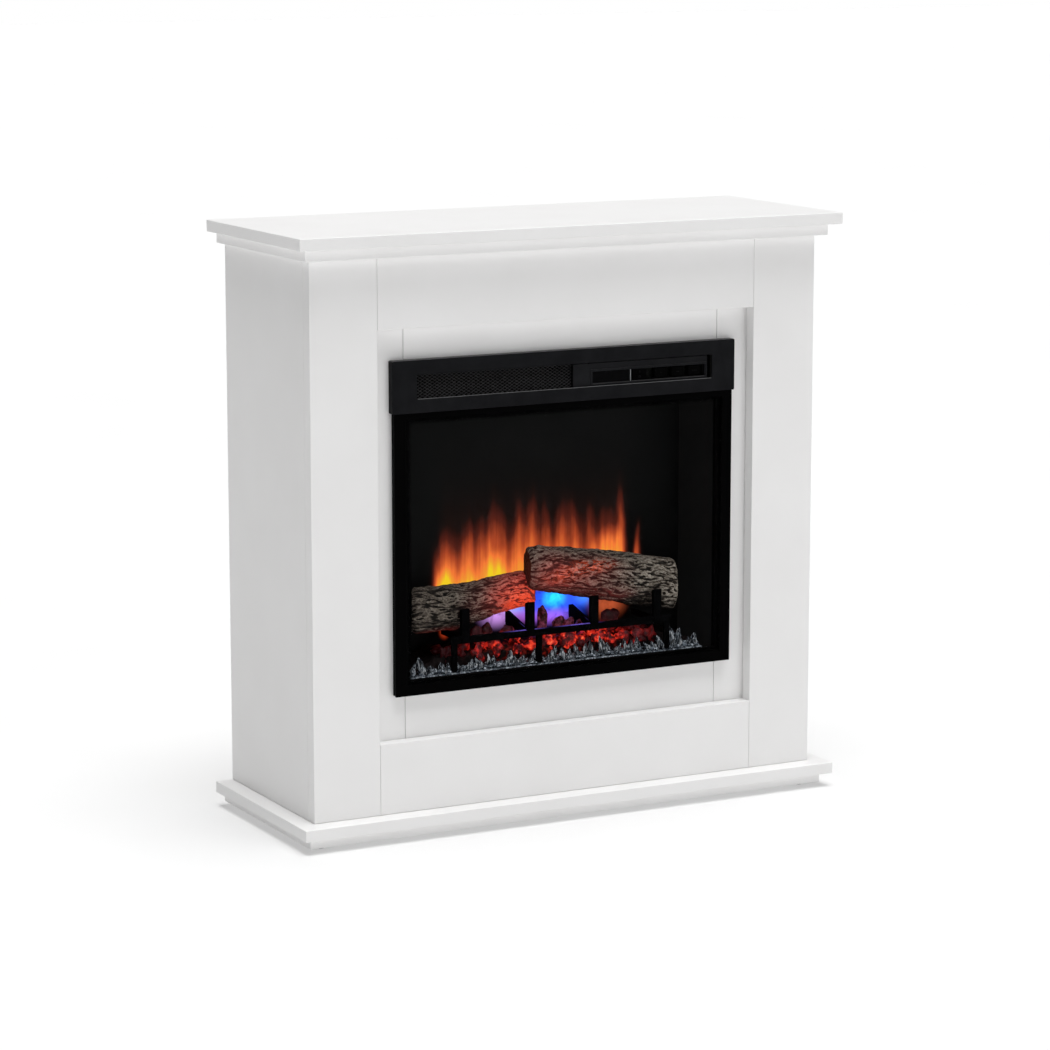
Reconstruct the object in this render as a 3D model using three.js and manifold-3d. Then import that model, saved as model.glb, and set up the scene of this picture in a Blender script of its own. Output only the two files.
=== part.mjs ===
// An electric fireplace: a white board surround on glides, holding a black steel firebox insert with a fan
// heater behind its header, a fake log fire behind its glass, and the works of the flame effect behind that.
// Millimetres. X to the right of someone facing the front, Y to the back, Z up. The origin is on the floor
// under the middle.
import * as THREE from "three";
import { ConvexGeometry } from "three/addons/geometries/ConvexGeometry.js";
import { mergeVertices } from "three/addons/utils/BufferGeometryUtils.js";
import Module from "manifold-3d";

const wasm = await Module();
wasm.setup();

// ---- Driving dimensions -------------------------------------------------------------------------------

const GAP = 0.3; // clearance wherever two pieces meet
const EASE = 0.8; // eased edge of every board

const BOARD = 18; // top, cornice, base, side and back boards
const PLINTH_BOARD = 16;
const INFILL_BOARD = 16;
const FRONT_BOARD = 22; // pilasters, fascia and apron
const GLIDE = { height: 5.5, radius: 9, inset: 26 };

const TOP = { width: 925, depth: 347.5 };
const CORNICE_WIDTH = 893;
const BODY_WIDTH = 866;
const BASE_WIDTH = 922;
const PLINTH_WIDTH = 893;
const TOTAL_HEIGHT = 919.5;
const PILASTER_WIDTH = 109.7;
const RECESS = 22.8; // pilaster face to infill face
const OVERHANG = { top: 35, cornice: 17.5, base: 31.5, plinth: 15.5 }; // ahead of the pilaster face
const APRON_HEIGHT = 109;
const FASCIA_HEIGHT = 108;
const BACK_RAIL_HEIGHT = 80;

const OPENING_HALF = 270.5; // half width of the opening that takes the insert
const HEADER = { width: 590, bottom: 646.7, height: 80, proud: 14, corner: 5, wall: 2.5 };
const SLOT = { half: 254.3, bottom: 667.7, height: 36.5 };
const GLASS = { width: 583, bottom: 216.1, proud: 12.5, thickness: 4 };
const FRAME_BORDER = 23; // width of the black frame behind the glass edge
const SHEET = 1.5; // firebox sheet steel
const SHELL = { half: 268, bottom: 222.5, top: 712, depth: 211 };
const PAN_LIP = 9;
const AIR_SLOTS = { count: 12, pitch: 36, length: 24, height: 5, rows: [664, 684] };
const GLAND = { x: 214, z: 262, bore: 4, flange: 14, hole: 7.5, length: 14 };
const BRACKET_LEG = 34; // of the wall brackets and of the angles that hold the insert
const WALL_BRACKET = { x: 300, length: 40, screwRadius: 3 };
const INSERT_BRACKET = { bottom: 560, top: 620 };
const CEILING = 640; // underside of the heater compartment
const SCREEN = { front: -15, thickness: 3, half: 262 };

const KEY = { thickness: 9, width: 22, corner: 3, first: 168, pitch: 30, travel: 1.2 };
const ROCKER = { x: 131, width: 24, dip: 1.6 };

const GRATE = { centre: 5, pitch: 112, half: 192, front: -106, thickness: 6, bottom: 282.5, top: 293.5 };
const GRATE_POST = { width: 12, top: 331 };
const FLICKER = { y: 24, z: 262, radius: 3, left: -224, right: 236, paddles: 11 };
const ROTOR = { y: -68, z: 674, radius: 19, left: -236, right: -14, blades: 14, shaft: 3 };

// ---- Levels and planes worked out from them -----------------------------------------------------------

const PLINTH_BOTTOM = GLIDE.height;
const BASE_BOTTOM = PLINTH_BOTTOM + PLINTH_BOARD;
const BODY_BOTTOM = BASE_BOTTOM + BOARD;
const TOP_BOTTOM = TOTAL_HEIGHT - BOARD;
const CORNICE_BOTTOM = TOP_BOTTOM - BOARD;
const FASCIA_BOTTOM = CORNICE_BOTTOM - FASCIA_HEIGHT;
const APRON_TOP = BODY_BOTTOM + APRON_HEIGHT;

const BACK = TOP.depth / 2;
const FRONT_EDGE = -BACK;
const PILASTER_FACE = FRONT_EDGE + OVERHANG.top;
const INFILL_FACE = PILASTER_FACE + RECESS;
const INFILL_BACK = INFILL_FACE + INFILL_BOARD;
const PILASTER_INNER = BODY_WIDTH / 2 - PILASTER_WIDTH;
const SIDE_INNER = BODY_WIDTH / 2 - BOARD;

const HEADER_FACE = INFILL_FACE - HEADER.proud;
const HEADER_TOP = HEADER.bottom + HEADER.height;
const GLASS_FACE = INFILL_FACE - GLASS.proud;
const GLASS_TOP = HEADER.bottom - GAP;
const TRIM_BACK = INFILL_FACE - GAP;
const SHELL_FRONT = TRIM_BACK + GAP;
const SHELL_BACK = SHELL_FRONT + SHELL.depth;
const PAN_TOP = SHELL.bottom + SHEET;
const BEZEL = { left: 12, right: 262, face: HEADER_FACE + 5, thickness: 3 };
const WINDOW = { bottom: 671.5, top: 689.5 };
const DISPLAY_WINDOW = { left: 46, right: 110 };
const KEY_WINDOW = { left: 114, right: 244 };
const KEY_FACE = BEZEL.face + BEZEL.thickness + 1;
const KEY_BACK = KEY_FACE + KEY.thickness;

// ---- Materials ----------------------------------------------------------------------------------------

function finish(color, roughness, metalness = 0) {
  return new THREE.MeshStandardMaterial({ color, roughness, metalness });
}

const WHITE_BOARD = finish(0xe9e7e5, 0.45);
const RAW_BOARD = finish(0xb99f7c, 0.9);
const BLACK_STEEL = finish(0x1c1e21, 0.42, 0.3);
const GALVANISED = finish(0x8d9196, 0.45, 0.9);
const BLACK_PLASTIC = finish(0x17181a, 0.5);
const GLOSS_BLACK = finish(0x060607, 0.08);
const DARK_GLASS = finish(0x0c0d0f, 0.04);
const SCREEN_ACRYLIC = finish(0x3a1c0a, 0.3);
const BARK = finish(0x6d5d50, 0.9);
const COAL = finish(0x3b0d08, 0.7);
const CRUSHED_GLASS = finish(0x47525a, 0.2);
const CAST_IRON = finish(0x101012, 0.75, 0.4);
const CIRCUIT_BOARD = finish(0x1f5a34, 0.5);
const COPPER_GREY = finish(0x77706a, 0.4, 0.8);
const WHITE_PLASTIC = finish(0xd8d8d4, 0.5);

// ---- Building helpers ---------------------------------------------------------------------------------

const fireplace = new THREE.Group();

function add(name, geometry, material, place = [0, 0, 0]) {
  const mesh = new THREE.Mesh(geometry, material);
  mesh.name = name;
  mesh.position.set(...place);
  fireplace.add(mesh);
  return mesh;
}

const middle = ([low, high]) => (low + high) / 2;
const span = ([low, high]) => high - low;

// A plain box between two limits on each axis, in place.
function boxBetween(x, y, z) {
  return new THREE.BoxGeometry(span(x), span(y), span(z)).translate(middle(x), middle(y), middle(z));
}

// A rod along X between two ends.
function rodAlongX(radius, left, right, y, z, sides = 24) {
  const rod = new THREE.CylinderGeometry(radius, radius, right - left, sides);
  return rod.rotateZ(Math.PI / 2).translate((left + right) / 2, y, z);
}

// A board with all twelve edges eased: the hull of its six inset faces.
function easedBox(width, depth, height, ease = EASE) {
  const half = [width / 2, depth / 2, height / 2];
  const corners = [];
  for (const flat of [0, 1, 2]) {
    for (const sign of [-1, 1]) {
      for (const side of [-1, 1]) {
        for (const end of [-1, 1]) {
          const corner = [side, end];
          corner.splice(flat, 0, sign);
          const reach = half.map((h, axis) => (axis === flat ? h : h - ease) * corner[axis]);
          corners.push(new THREE.Vector3(...reach));
        }
      }
    }
  }
  return new ConvexGeometry(corners);
}

function board(name, x, y, z, material = WHITE_BOARD) {
  add(name, easedBox(span(x), span(y), span(z)), material, [middle(x), middle(y), middle(z)]);
}

function solid(geometry) {
  const bare = geometry.clone();
  bare.deleteAttribute("normal");
  bare.deleteAttribute("uv");
  const merged = mergeVertices(bare, 1e-4);
  const triVerts = new Uint32Array(merged.index.array);
  const vertProperties = new Float32Array(merged.attributes.position.array);
  return new wasm.Manifold(new wasm.Mesh({ numProp: 3, vertProperties, triVerts }));
}

function geometryOf(manifold) {
  const mesh = manifold.getMesh();
  const geometry = new THREE.BufferGeometry();
  geometry.setAttribute("position", new THREE.BufferAttribute(mesh.vertProperties, 3));
  geometry.setIndex(new THREE.BufferAttribute(mesh.triVerts, 1));
  geometry.computeVertexNormals();
  return geometry;
}

const join = (first, ...others) => geometryOf(others.reduce((sum, g) => sum.add(solid(g)), solid(first)));
const cut = (first, ...tools) => geometryOf(tools.reduce((left, g) => left.subtract(solid(g)), solid(first)));

// A rectangle with round corners in X and Z, extruded along Y from front to back.
function roundedPlate(x, z, front, back, radius, cornerSteps = 4) {
  const shape = new THREE.Shape();
  const [left, right] = x;
  const [bottom, top] = z;
  shape.absarc(right - radius, bottom + radius, radius, -Math.PI / 2, 0);
  shape.absarc(right - radius, top - radius, radius, 0, Math.PI / 2);
  shape.absarc(left + radius, top - radius, radius, Math.PI / 2, Math.PI);
  shape.absarc(left + radius, bottom + radius, radius, Math.PI, 1.5 * Math.PI);
  const depth = back - front;
  const plate = new THREE.ExtrudeGeometry(shape, { depth, bevelEnabled: false, curveSegments: cornerSteps });
  return plate.rotateX(Math.PI / 2).translate(0, back, 0);
}

// A profile of [y, z] points extruded along X.
function channel(points, left, right) {
  const shape = new THREE.Shape(points.map(([y, z]) => new THREE.Vector2(y, z)));
  const bar = new THREE.ExtrudeGeometry(shape, { depth: right - left, bevelEnabled: false });
  return bar.rotateX(Math.PI / 2).rotateZ(Math.PI / 2).translate(left, 0, 0);
}

const mirrored = (points) => points.map(([x, y]) => [-x, y]);

// ---- The white surround -------------------------------------------------------------------------------

function slabs() {
  const across = (width) => [-width / 2, width / 2];
  const deep = (overhang) => [PILASTER_FACE - overhang, BACK - GAP];
  board("top_shelf", across(TOP.width), [FRONT_EDGE, BACK], [TOP_BOTTOM, TOTAL_HEIGHT]);
  board("cornice_slab", across(CORNICE_WIDTH), deep(OVERHANG.cornice), [CORNICE_BOTTOM, TOP_BOTTOM - GAP]);
  board("base_slab", across(BASE_WIDTH), deep(OVERHANG.base), [BASE_BOTTOM, BODY_BOTTOM - GAP]);
  board("plinth_slab", across(PLINTH_WIDTH), deep(OVERHANG.plinth), [PLINTH_BOTTOM, BASE_BOTTOM - GAP]);
}

function uprights() {
  const height = [BODY_BOTTOM, CORNICE_BOTTOM - GAP];
  for (const [side, sign] of [["left", -1], ["right", 1]]) {
    const mirror = (inner, outer) => [inner * sign, outer * sign].sort((a, b) => a - b);
    const outer = BODY_WIDTH / 2;
    const pilasterBack = PILASTER_FACE + FRONT_BOARD;
    const lap = PILASTER_INNER + 20;
    board(`${side}_side_panel`, mirror(SIDE_INNER, outer), [pilasterBack + GAP, BACK - GAP], height);
    board(`${side}_pilaster`, mirror(PILASTER_INNER, outer), [PILASTER_FACE, pilasterBack], height);
    board(`infill_${side}_stile`, mirror(OPENING_HALF + GAP, lap), [INFILL_FACE, INFILL_BACK], height);
  }
}

function crossBoards() {
  const between = [-PILASTER_INNER + GAP, PILASTER_INNER - GAP];
  const faced = [PILASTER_FACE, PILASTER_FACE + FRONT_BOARD];
  board("upper_fascia", between, faced, [FASCIA_BOTTOM, CORNICE_BOTTOM - GAP]);
  board("lower_apron", between, faced, [BODY_BOTTOM, APRON_TOP]);
  const opening = [-OPENING_HALF + GAP, OPENING_HALF - GAP];
  const infill = [INFILL_FACE, INFILL_BACK];
  board("infill_top_rail", opening, infill, [SHELL.top + 2, CORNICE_BOTTOM - GAP]);
  board("infill_bottom_rail", opening, infill, [BODY_BOTTOM, SHELL.bottom - GAP]);
}

function backFrame() {
  const inside = [-SIDE_INNER + GAP, SIDE_INNER - GAP];
  const flush = [BACK - GAP - BOARD, BACK - GAP];
  const railTop = CORNICE_BOTTOM - GAP;
  board("back_rail_top", inside, flush, [railTop - BACK_RAIL_HEIGHT, railTop], RAW_BOARD);
  board("back_rail_bottom", inside, flush, [BODY_BOTTOM, BODY_BOTTOM + BACK_RAIL_HEIGHT], RAW_BOARD);
  const shelfTop = SHELL.bottom - GAP;
  const shelfHeight = [shelfTop - INFILL_BOARD, shelfTop];
  board("firebox_shelf", inside, [INFILL_BACK + GAP, SHELL_BACK], shelfHeight, RAW_BOARD);
}

function glides() {
  const x = PLINTH_WIDTH / 2 - GLIDE.inset;
  const rows = { front: PILASTER_FACE - OVERHANG.plinth + GLIDE.inset, back: BACK - GLIDE.inset };
  const height = GLIDE.height - GAP;
  for (const [row, y] of Object.entries(rows)) {
    for (const [side, sign] of [["left", -1], ["right", 1]]) {
      const foot = new THREE.CylinderGeometry(GLIDE.radius, GLIDE.radius - 1, height, 24);
      add(`glide_${row}_${side}`, foot.rotateX(Math.PI / 2), BLACK_PLASTIC, [sign * x, y, height / 2]);
    }
  }
}

// Steel angles under the top back rail, flush with its rear face, for the screws that stop the suite tipping.
function wallBrackets() {
  const { x, length, screwRadius } = WALL_BRACKET;
  const leg = BRACKET_LEG;
  const wall = BACK - GAP;
  const top = CORNICE_BOTTOM - GAP - BACK_RAIL_HEIGHT - GAP;
  const angle = [
    [wall, top],
    [wall - leg, top],
    [wall - leg, top - SHEET],
    [wall - SHEET, top - SHEET],
    [wall - SHEET, top - leg],
    [wall, top - leg],
  ];
  const screw = new THREE.CylinderGeometry(screwRadius, screwRadius, 6 * SHEET, 20)
    .translate(0, wall, top - leg / 2 - 4);
  const bracket = cut(channel(angle, -length / 2, length / 2), screw);
  for (const [side, sign] of [["left", -1], ["right", 1]]) {
    add(`wall_bracket_${side}`, bracket, GALVANISED, [sign * x, 0, 0]);
  }
}

// ---- The firebox shell --------------------------------------------------------------------------------

function shell() {
  const inner = SHELL.half - SHEET - GAP;
  const across = [-inner, inner];
  const deep = [SHELL_FRONT, SHELL_BACK];
  for (const [side, sign] of [["left", -1], ["right", 1]]) {
    const x = [SHELL.half * sign, (SHELL.half - SHEET) * sign].sort((a, b) => a - b);
    add(`firebox_${side}_side`, boxBetween(x, deep, [SHELL.bottom, SHELL.top]), BLACK_STEEL);
  }
  const low = SHELL.bottom;
  const lip = PAN_LIP;
  const pan = [
    [SHELL_FRONT, low],
    [SHELL_BACK, low],
    [SHELL_BACK, low + lip],
    [SHELL_BACK - SHEET, low + lip],
    [SHELL_BACK - SHEET, PAN_TOP],
    [SHELL_FRONT + SHEET, PAN_TOP],
    [SHELL_FRONT + SHEET, low + lip],
    [SHELL_FRONT, low + lip],
  ];
  add("firebox_base_pan", channel(pan, -inner, inner), BLACK_STEEL);
  add("firebox_top_panel", boxBetween(across, deep, [SHELL.top - SHEET, SHELL.top]), BLACK_STEEL);
  const ceiling = [SHELL_FRONT + 4, SHELL_BACK - GAP];
  add("heater_deck", boxBetween(across, ceiling, [CEILING, CEILING + SHEET]), BLACK_STEEL);
}

// The back sheet, with two rows of air slots near the top and the round hole for the cable gland.
function backPanel() {
  const front = SHELL_BACK + GAP;
  const sheet = boxBetween([-SHELL.half, SHELL.half], [front, front + SHEET], [SHELL.bottom, SHELL.top]);
  const tools = [];
  for (const z of AIR_SLOTS.rows) {
    for (let i = 0; i < AIR_SLOTS.count; i++) {
      const x = (i - (AIR_SLOTS.count - 1) / 2) * AIR_SLOTS.pitch;
      const slot = new THREE.BoxGeometry(AIR_SLOTS.length, 6 * SHEET, AIR_SLOTS.height);
      tools.push(slot.translate(x, front, z));
    }
  }
  const glandHole = new THREE.CylinderGeometry(GLAND.hole, GLAND.hole, 6 * SHEET, 24);
  tools.push(glandHole.translate(GLAND.x, front, GLAND.z));
  add("firebox_back_panel", cut(sheet, ...tools), GALVANISED);
}

function cableGland() {
  const face = SHELL_BACK + GAP + SHEET + GAP;
  const { bore, flange, length } = GLAND;
  const profile = [
    [bore, 0],
    [flange, 0],
    [flange, 3],
    [bore + 5, 3],
    [bore + 4, length],
    [bore, length],
    [bore, 0],
  ];
  const gland = new THREE.LatheGeometry(profile.map(([r, along]) => new THREE.Vector2(r, along)), 28);
  add("cord_gland", gland, BLACK_PLASTIC, [GLAND.x, face, GLAND.z]);
}

// Angles that screw the shell to the back of the infill stiles.
function insertBrackets() {
  const { bottom, top } = INSERT_BRACKET;
  const start = SHELL.half + GAP;
  const face = INFILL_BACK + GAP;
  const leg = BRACKET_LEG;
  for (const [side, sign] of [["left", -1], ["right", 1]]) {
    const angle = [
      [start, face],
      [start + leg, face],
      [start + leg, face + SHEET],
      [start + SHEET, face + SHEET],
      [start + SHEET, face + leg],
      [start, face + leg],
    ];
    const outline = sign > 0 ? angle : mirrored(angle).reverse();
    const shape = new THREE.Shape(outline.map(([x, y]) => new THREE.Vector2(x, y)));
    const bar = new THREE.ExtrudeGeometry(shape, { depth: top - bottom, bevelEnabled: false });
    add(`insert_bracket_${side}`, bar, GALVANISED, [0, 0, bottom]);
  }
}

// ---- The face of the insert ---------------------------------------------------------------------------

// A shallow tray open at the back, with round corners and one long slot.
function header() {
  const half = HEADER.width / 2;
  const x = [-half, half];
  const z = [HEADER.bottom, HEADER_TOP];
  const inset = ([low, high]) => [low + HEADER.wall, high - HEADER.wall];
  const skin = HEADER_FACE + HEADER.wall;
  const outer = roundedPlate(x, z, HEADER_FACE, TRIM_BACK, HEADER.corner);
  const pocket = roundedPlate(inset(x), inset(z), skin, TRIM_BACK + 1, HEADER.corner - HEADER.wall);
  const slotHeight = [SLOT.bottom, SLOT.bottom + SLOT.height];
  const slot = roundedPlate([-SLOT.half, SLOT.half], slotHeight, HEADER_FACE - 1, skin + 1, 1.5, 2);
  add("header_trim", cut(outer, pocket, slot), BLACK_STEEL);
}

function glassAndFrame() {
  const half = GLASS.width / 2;
  const glassBack = GLASS_FACE + GLASS.thickness;
  const z = [GLASS.bottom, GLASS_TOP];
  add("front_glass", boxBetween([-half, half], [GLASS_FACE, glassBack], z), DARK_GLASS);
  const inner = half - FRAME_BORDER;
  const window = [GLASS.bottom + FRAME_BORDER, GLASS_TOP - FRAME_BORDER / 2];
  const depth = [glassBack + GAP, TRIM_BACK];
  const outer = boxBetween([-half + 1, half - 1], depth, [GLASS.bottom + 1, GLASS_TOP]);
  const hole = boxBetween([-inner, inner], [glassBack, TRIM_BACK + 1], window);
  add("glass_frame", cut(outer, hole), BLACK_STEEL);
}

function grilleAndBezel() {
  const behindSlot = [SLOT.bottom - 4, SLOT.bottom + SLOT.height + 4];
  const grille = [-SLOT.half - 4, BEZEL.left - 2];
  const grilleFace = HEADER_FACE + 7;
  add("heater_grille", boxBetween(grille, [grilleFace, grilleFace + 1], behindSlot), BLACK_STEEL);

  const bezelBack = BEZEL.face + BEZEL.thickness;
  const plate = boxBetween([BEZEL.left, BEZEL.right], [BEZEL.face, bezelBack], behindSlot);
  const windows = [DISPLAY_WINDOW, KEY_WINDOW].map(({ left, right }) =>
    roundedPlate([left, right], [WINDOW.bottom, WINDOW.top], BEZEL.face - 1, bezelBack + 1, 1, 2));
  add("control_bezel", cut(plate, ...windows), BLACK_PLASTIC);

  const lensX = [DISPLAY_WINDOW.left + GAP, DISPLAY_WINDOW.right - GAP];
  const lensZ = [WINDOW.bottom + GAP, WINDOW.top - GAP];
  add("display_lens", boxBetween(lensX, [BEZEL.face + 1, bezelBack], lensZ), GLOSS_BLACK);
}

const BUTTONS = ["button_flame", "button_heat", "button_timer"];
function keys() {
  const height = WINDOW.top - WINDOW.bottom - 2;
  const z = (WINDOW.bottom + WINDOW.top) / 2;
  const across = [-KEY.width / 2, KEY.width / 2];
  for (const [i, name] of BUTTONS.entries()) {
    const key = roundedPlate(across, [-height / 2, height / 2], KEY_FACE, KEY_BACK, KEY.corner);
    add(name, key, BLACK_PLASTIC, [KEY.first + i * KEY.pitch, 0, z]);
  }
  // The rocker's face is a shallow V, its back is round about the pivot.
  const half = height / 2;
  const faceMiddle = KEY_FACE + ROCKER.dip;
  const heel = KEY_FACE + 6;
  const profile = [
    [faceMiddle, 0],
    [KEY_FACE, half],
    [heel, half - 1.5],
    [KEY_BACK - 1, half / 2],
    [KEY_BACK - 1, -half / 2],
    [heel, -half + 1.5],
    [KEY_FACE, -half],
  ];
  add("power_rocker", channel(profile.reverse(), ROCKER.x - ROCKER.width / 2, ROCKER.x + ROCKER.width / 2),
    BLACK_PLASTIC, [0, 0, z]);
}

function controlBoard() {
  const front = KEY_BACK + KEY.travel + GAP;
  const sheet = boxBetween([DISPLAY_WINDOW.left, BEZEL.right], [front, front + 1.6], [660, 706]);
  const chips = [62, 96].map((x) => boxBetween([x, x + 16], [front + 1, front + 4.6], [676, 690]));
  add("control_pcb", join(sheet, ...chips), CIRCUIT_BOARD);
}

// ---- The log fire -------------------------------------------------------------------------------------

// A closed skin over rings of points, one ring for each [x, y, z, radius] station, with a wavy bark outline.
function logBetween(stations, sides, phase) {
  const rings = stations.map(([x, y, z, radius], i) => {
    const ring = [];
    for (let k = 0; k < sides; k++) {
      const angle = (2 * Math.PI * k) / sides;
      const bark = 1 + 0.045 * Math.sin(3 * angle + phase + 1.3 * i) + 0.03 * Math.sin(5 * angle - 2.1 * i);
      ring.push(x, y + radius * bark * Math.cos(angle), z + radius * bark * Math.sin(angle));
    }
    return ring;
  });
  const first = stations[0];
  const last = stations[stations.length - 1];
  const position = [...rings.flat(), ...first.slice(0, 3), ...last.slice(0, 3)];
  const firstCentre = stations.length * sides;
  const index = [];
  for (let k = 0; k < sides; k++) {
    const next = (k + 1) % sides;
    for (let i = 0; i + 1 < stations.length; i++) {
      const here = i * sides;
      const there = here + sides;
      index.push(here + k, here + next, there + k, here + next, there + next, there + k);
    }
    const end = (stations.length - 1) * sides;
    index.push(firstCentre, next, k, firstCentre + 1, end + k, end + next);
  }
  const geometry = new THREE.BufferGeometry();
  geometry.setAttribute("position", new THREE.Float32BufferAttribute(position, 3));
  geometry.setIndex(index);
  geometry.computeVertexNormals();
  return geometry;
}

function logs() {
  const left = [
    [-231, -61, 331, 27],
    [-226, -61, 331, 34],
    [-190, -60, 331, 33],
    [-155, -59, 332, 32],
    [-124, -58, 336, 30],
    [-90, -57, 342, 26],
    [-54, -53, 345, 24.5],
    [-41, -47, 335, 13],
    [-20, -45, 331, 11],
  ];
  const right = [
    [-44, -80, 381, 26],
    [-39, -80, 380, 31],
    [-16, -79, 376.5, 32.5],
    [19, -77, 370, 34],
    [54, -74, 365, 35.5],
    [90, -72, 358, 37],
    [126, -68, 351, 38],
    [162, -64, 344, 38],
    [198, -60, 337, 38],
    [224, -59, 332, 35],
    [232, -59, 330, 27],
  ];
  add("log_left", logBetween(left, 14, 0.4), BARK);
  add("log_right", logBetween(right, 14, 2.2), BARK);
}

// A block whose top is a height field.
function mound(x, y, bottom, columns, rows, height) {
  const block = new THREE.BoxGeometry(span(x), span(y), 2, columns, rows, 1).translate(middle(x), middle(y), 0);
  const position = block.attributes.position;
  for (let i = 0; i < position.count; i++) {
    const raised = position.getZ(i) > 0;
    position.setZ(i, raised ? height(position.getX(i), position.getY(i)) : bottom);
  }
  return block;
}

function bed() {
  const ledTop = PAN_TOP + GAP + 6;
  const coals = (x, y) => 262 + 7 * Math.sin(x / 13 + y / 9) + 5 * Math.sin(x / 29 - y / 7) + (y + 58) / 6;
  add("ember_bed", mound([-250, 250], [-88, -24], ledTop + GAP, 30, 4, coals), COAL);
  const chips = (x, y) => 235 + 2 * Math.sin(x / 9) + (y + 98) / 5;
  add("crushed_glass_bed", mound([-255, 255], [-107, -89], PAN_TOP + GAP, 34, 2, chips), CRUSHED_GLASS);

  const board = boxBetween([-245, 245], [-80, -30], [PAN_TOP + GAP, PAN_TOP + GAP + 2]);
  const leds = [];
  for (let x = -210; x <= 210; x += 42) {
    leds.push(boxBetween([x - 4, x + 4], [-59, -51], [PAN_TOP + 1, ledTop]));
  }
  add("ember_led_board", join(board, ...leds), CIRCUIT_BOARD);
}

// One front bar with four posts that stop the logs, four runners under the logs and three legs.
function grate() {
  const { front, thickness, bottom, top, centre, half } = GRATE;
  const y = [front, front + thickness];
  const pieces = [];
  for (const step of [-1.5, -0.5, 0.5, 1.5]) {
    const x = centre + step * GRATE.pitch;
    const wide = [x - GRATE_POST.width / 2, x + GRATE_POST.width / 2];
    pieces.push(boxBetween(wide, y, [bottom + 1, GRATE_POST.top]));
    pieces.push(boxBetween([x - 4, x + 4], [front + 1, -28], [bottom + 1, top - 2]));
  }
  for (const x of [centre - half + 6, centre - 40, centre + half - 6]) {
    pieces.push(boxBetween([x - 5, x + 5], [front + 0.5, front + thickness - 0.5], [240, bottom + 1]));
  }
  const bar = boxBetween([centre - half, centre + half], y, [bottom, top]);
  add("log_grate", join(bar, ...pieces), CAST_IRON);
}

// ---- The flame effect behind the screen ---------------------------------------------------------------

function flameEffect() {
  const { front, thickness, half } = SCREEN;
  const screenHeight = [PAN_TOP + GAP, CEILING - GAP];
  add("flame_screen", boxBetween([-half, half], [front, front + thickness], screenHeight), SCREEN_ACRYLIC);

  const { y, z, radius, left, right, paddles } = FLICKER;
  const rod = rodAlongX(radius, left, right, y, z, 16);
  const flags = [];
  const reach = 15;
  for (let i = 0; i < paddles; i++) {
    const x = left + 30 + i * 38;
    const flag = new THREE.BoxGeometry(16, 1, 2 * reach).rotateX(i * 0.9).translate(x, y, z);
    flags.push(flag);
  }
  add("flicker_rod", join(rod, ...flags), GALVANISED);

  const wall = SHELL.half - SHEET - GAP;
  const can = rodAlongX(18, -wall, left - 6, y, z, 32);
  const boss = rodAlongX(6, left - 7, left - GAP, y, z, 20);
  add("flicker_motor", join(can, boss), GALVANISED);

  const plate = boxBetween([right - 10, right - 6], [y - 12, y + 12], [PAN_TOP + GAP, z + 12]);
  const hole = rodAlongX(radius + GAP, right - 12, right - 4, y, z, 16);
  add("flicker_bush", cut(plate, hole), WHITE_PLASTIC);

  const board = boxBetween([-200, 200], [56, 58], [PAN_TOP + GAP, 292]);
  const leds = [];
  for (let x = -180; x <= 180; x += 30) {
    leds.push(boxBetween([x - 3, x + 3], [53, 57], [z - 3, z + 3]));
  }
  add("flame_led_board", join(board, ...leds), CIRCUIT_BOARD);
}

// ---- The fan heater -----------------------------------------------------------------------------------

// A drum of blades: an outline that steps out and in once for each blade, with a thin shaft through it.
function rotor() {
  const shape = new THREE.Shape();
  const root = ROTOR.radius * 0.62;
  const bladeShare = 0.3;
  for (let i = 0; i < ROTOR.blades; i++) {
    const start = (2 * Math.PI * i) / ROTOR.blades;
    const end = start + (2 * Math.PI * bladeShare) / ROTOR.blades;
    const lean = 0.22;
    const corners = [
      [root, start],
      [ROTOR.radius, start + lean],
      [ROTOR.radius, end + lean],
      [root, end],
    ];
    for (const [radius, angle] of corners) {
      const to = [radius * Math.cos(angle), radius * Math.sin(angle)];
      if (i === 0 && radius === root && angle === start) shape.moveTo(...to);
      else shape.lineTo(...to);
    }
  }
  const { left, right, y, z } = ROTOR;
  const drum = new THREE.ExtrudeGeometry(shape, { depth: right - left, bevelEnabled: false });
  drum.rotateY(Math.PI / 2).translate(left, y, z);
  const shaft = rodAlongX(ROTOR.shaft, left - 16, right + 14, y, z, 16);
  add("heater_rotor", join(drum, shaft), BLACK_PLASTIC);
}

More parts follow.
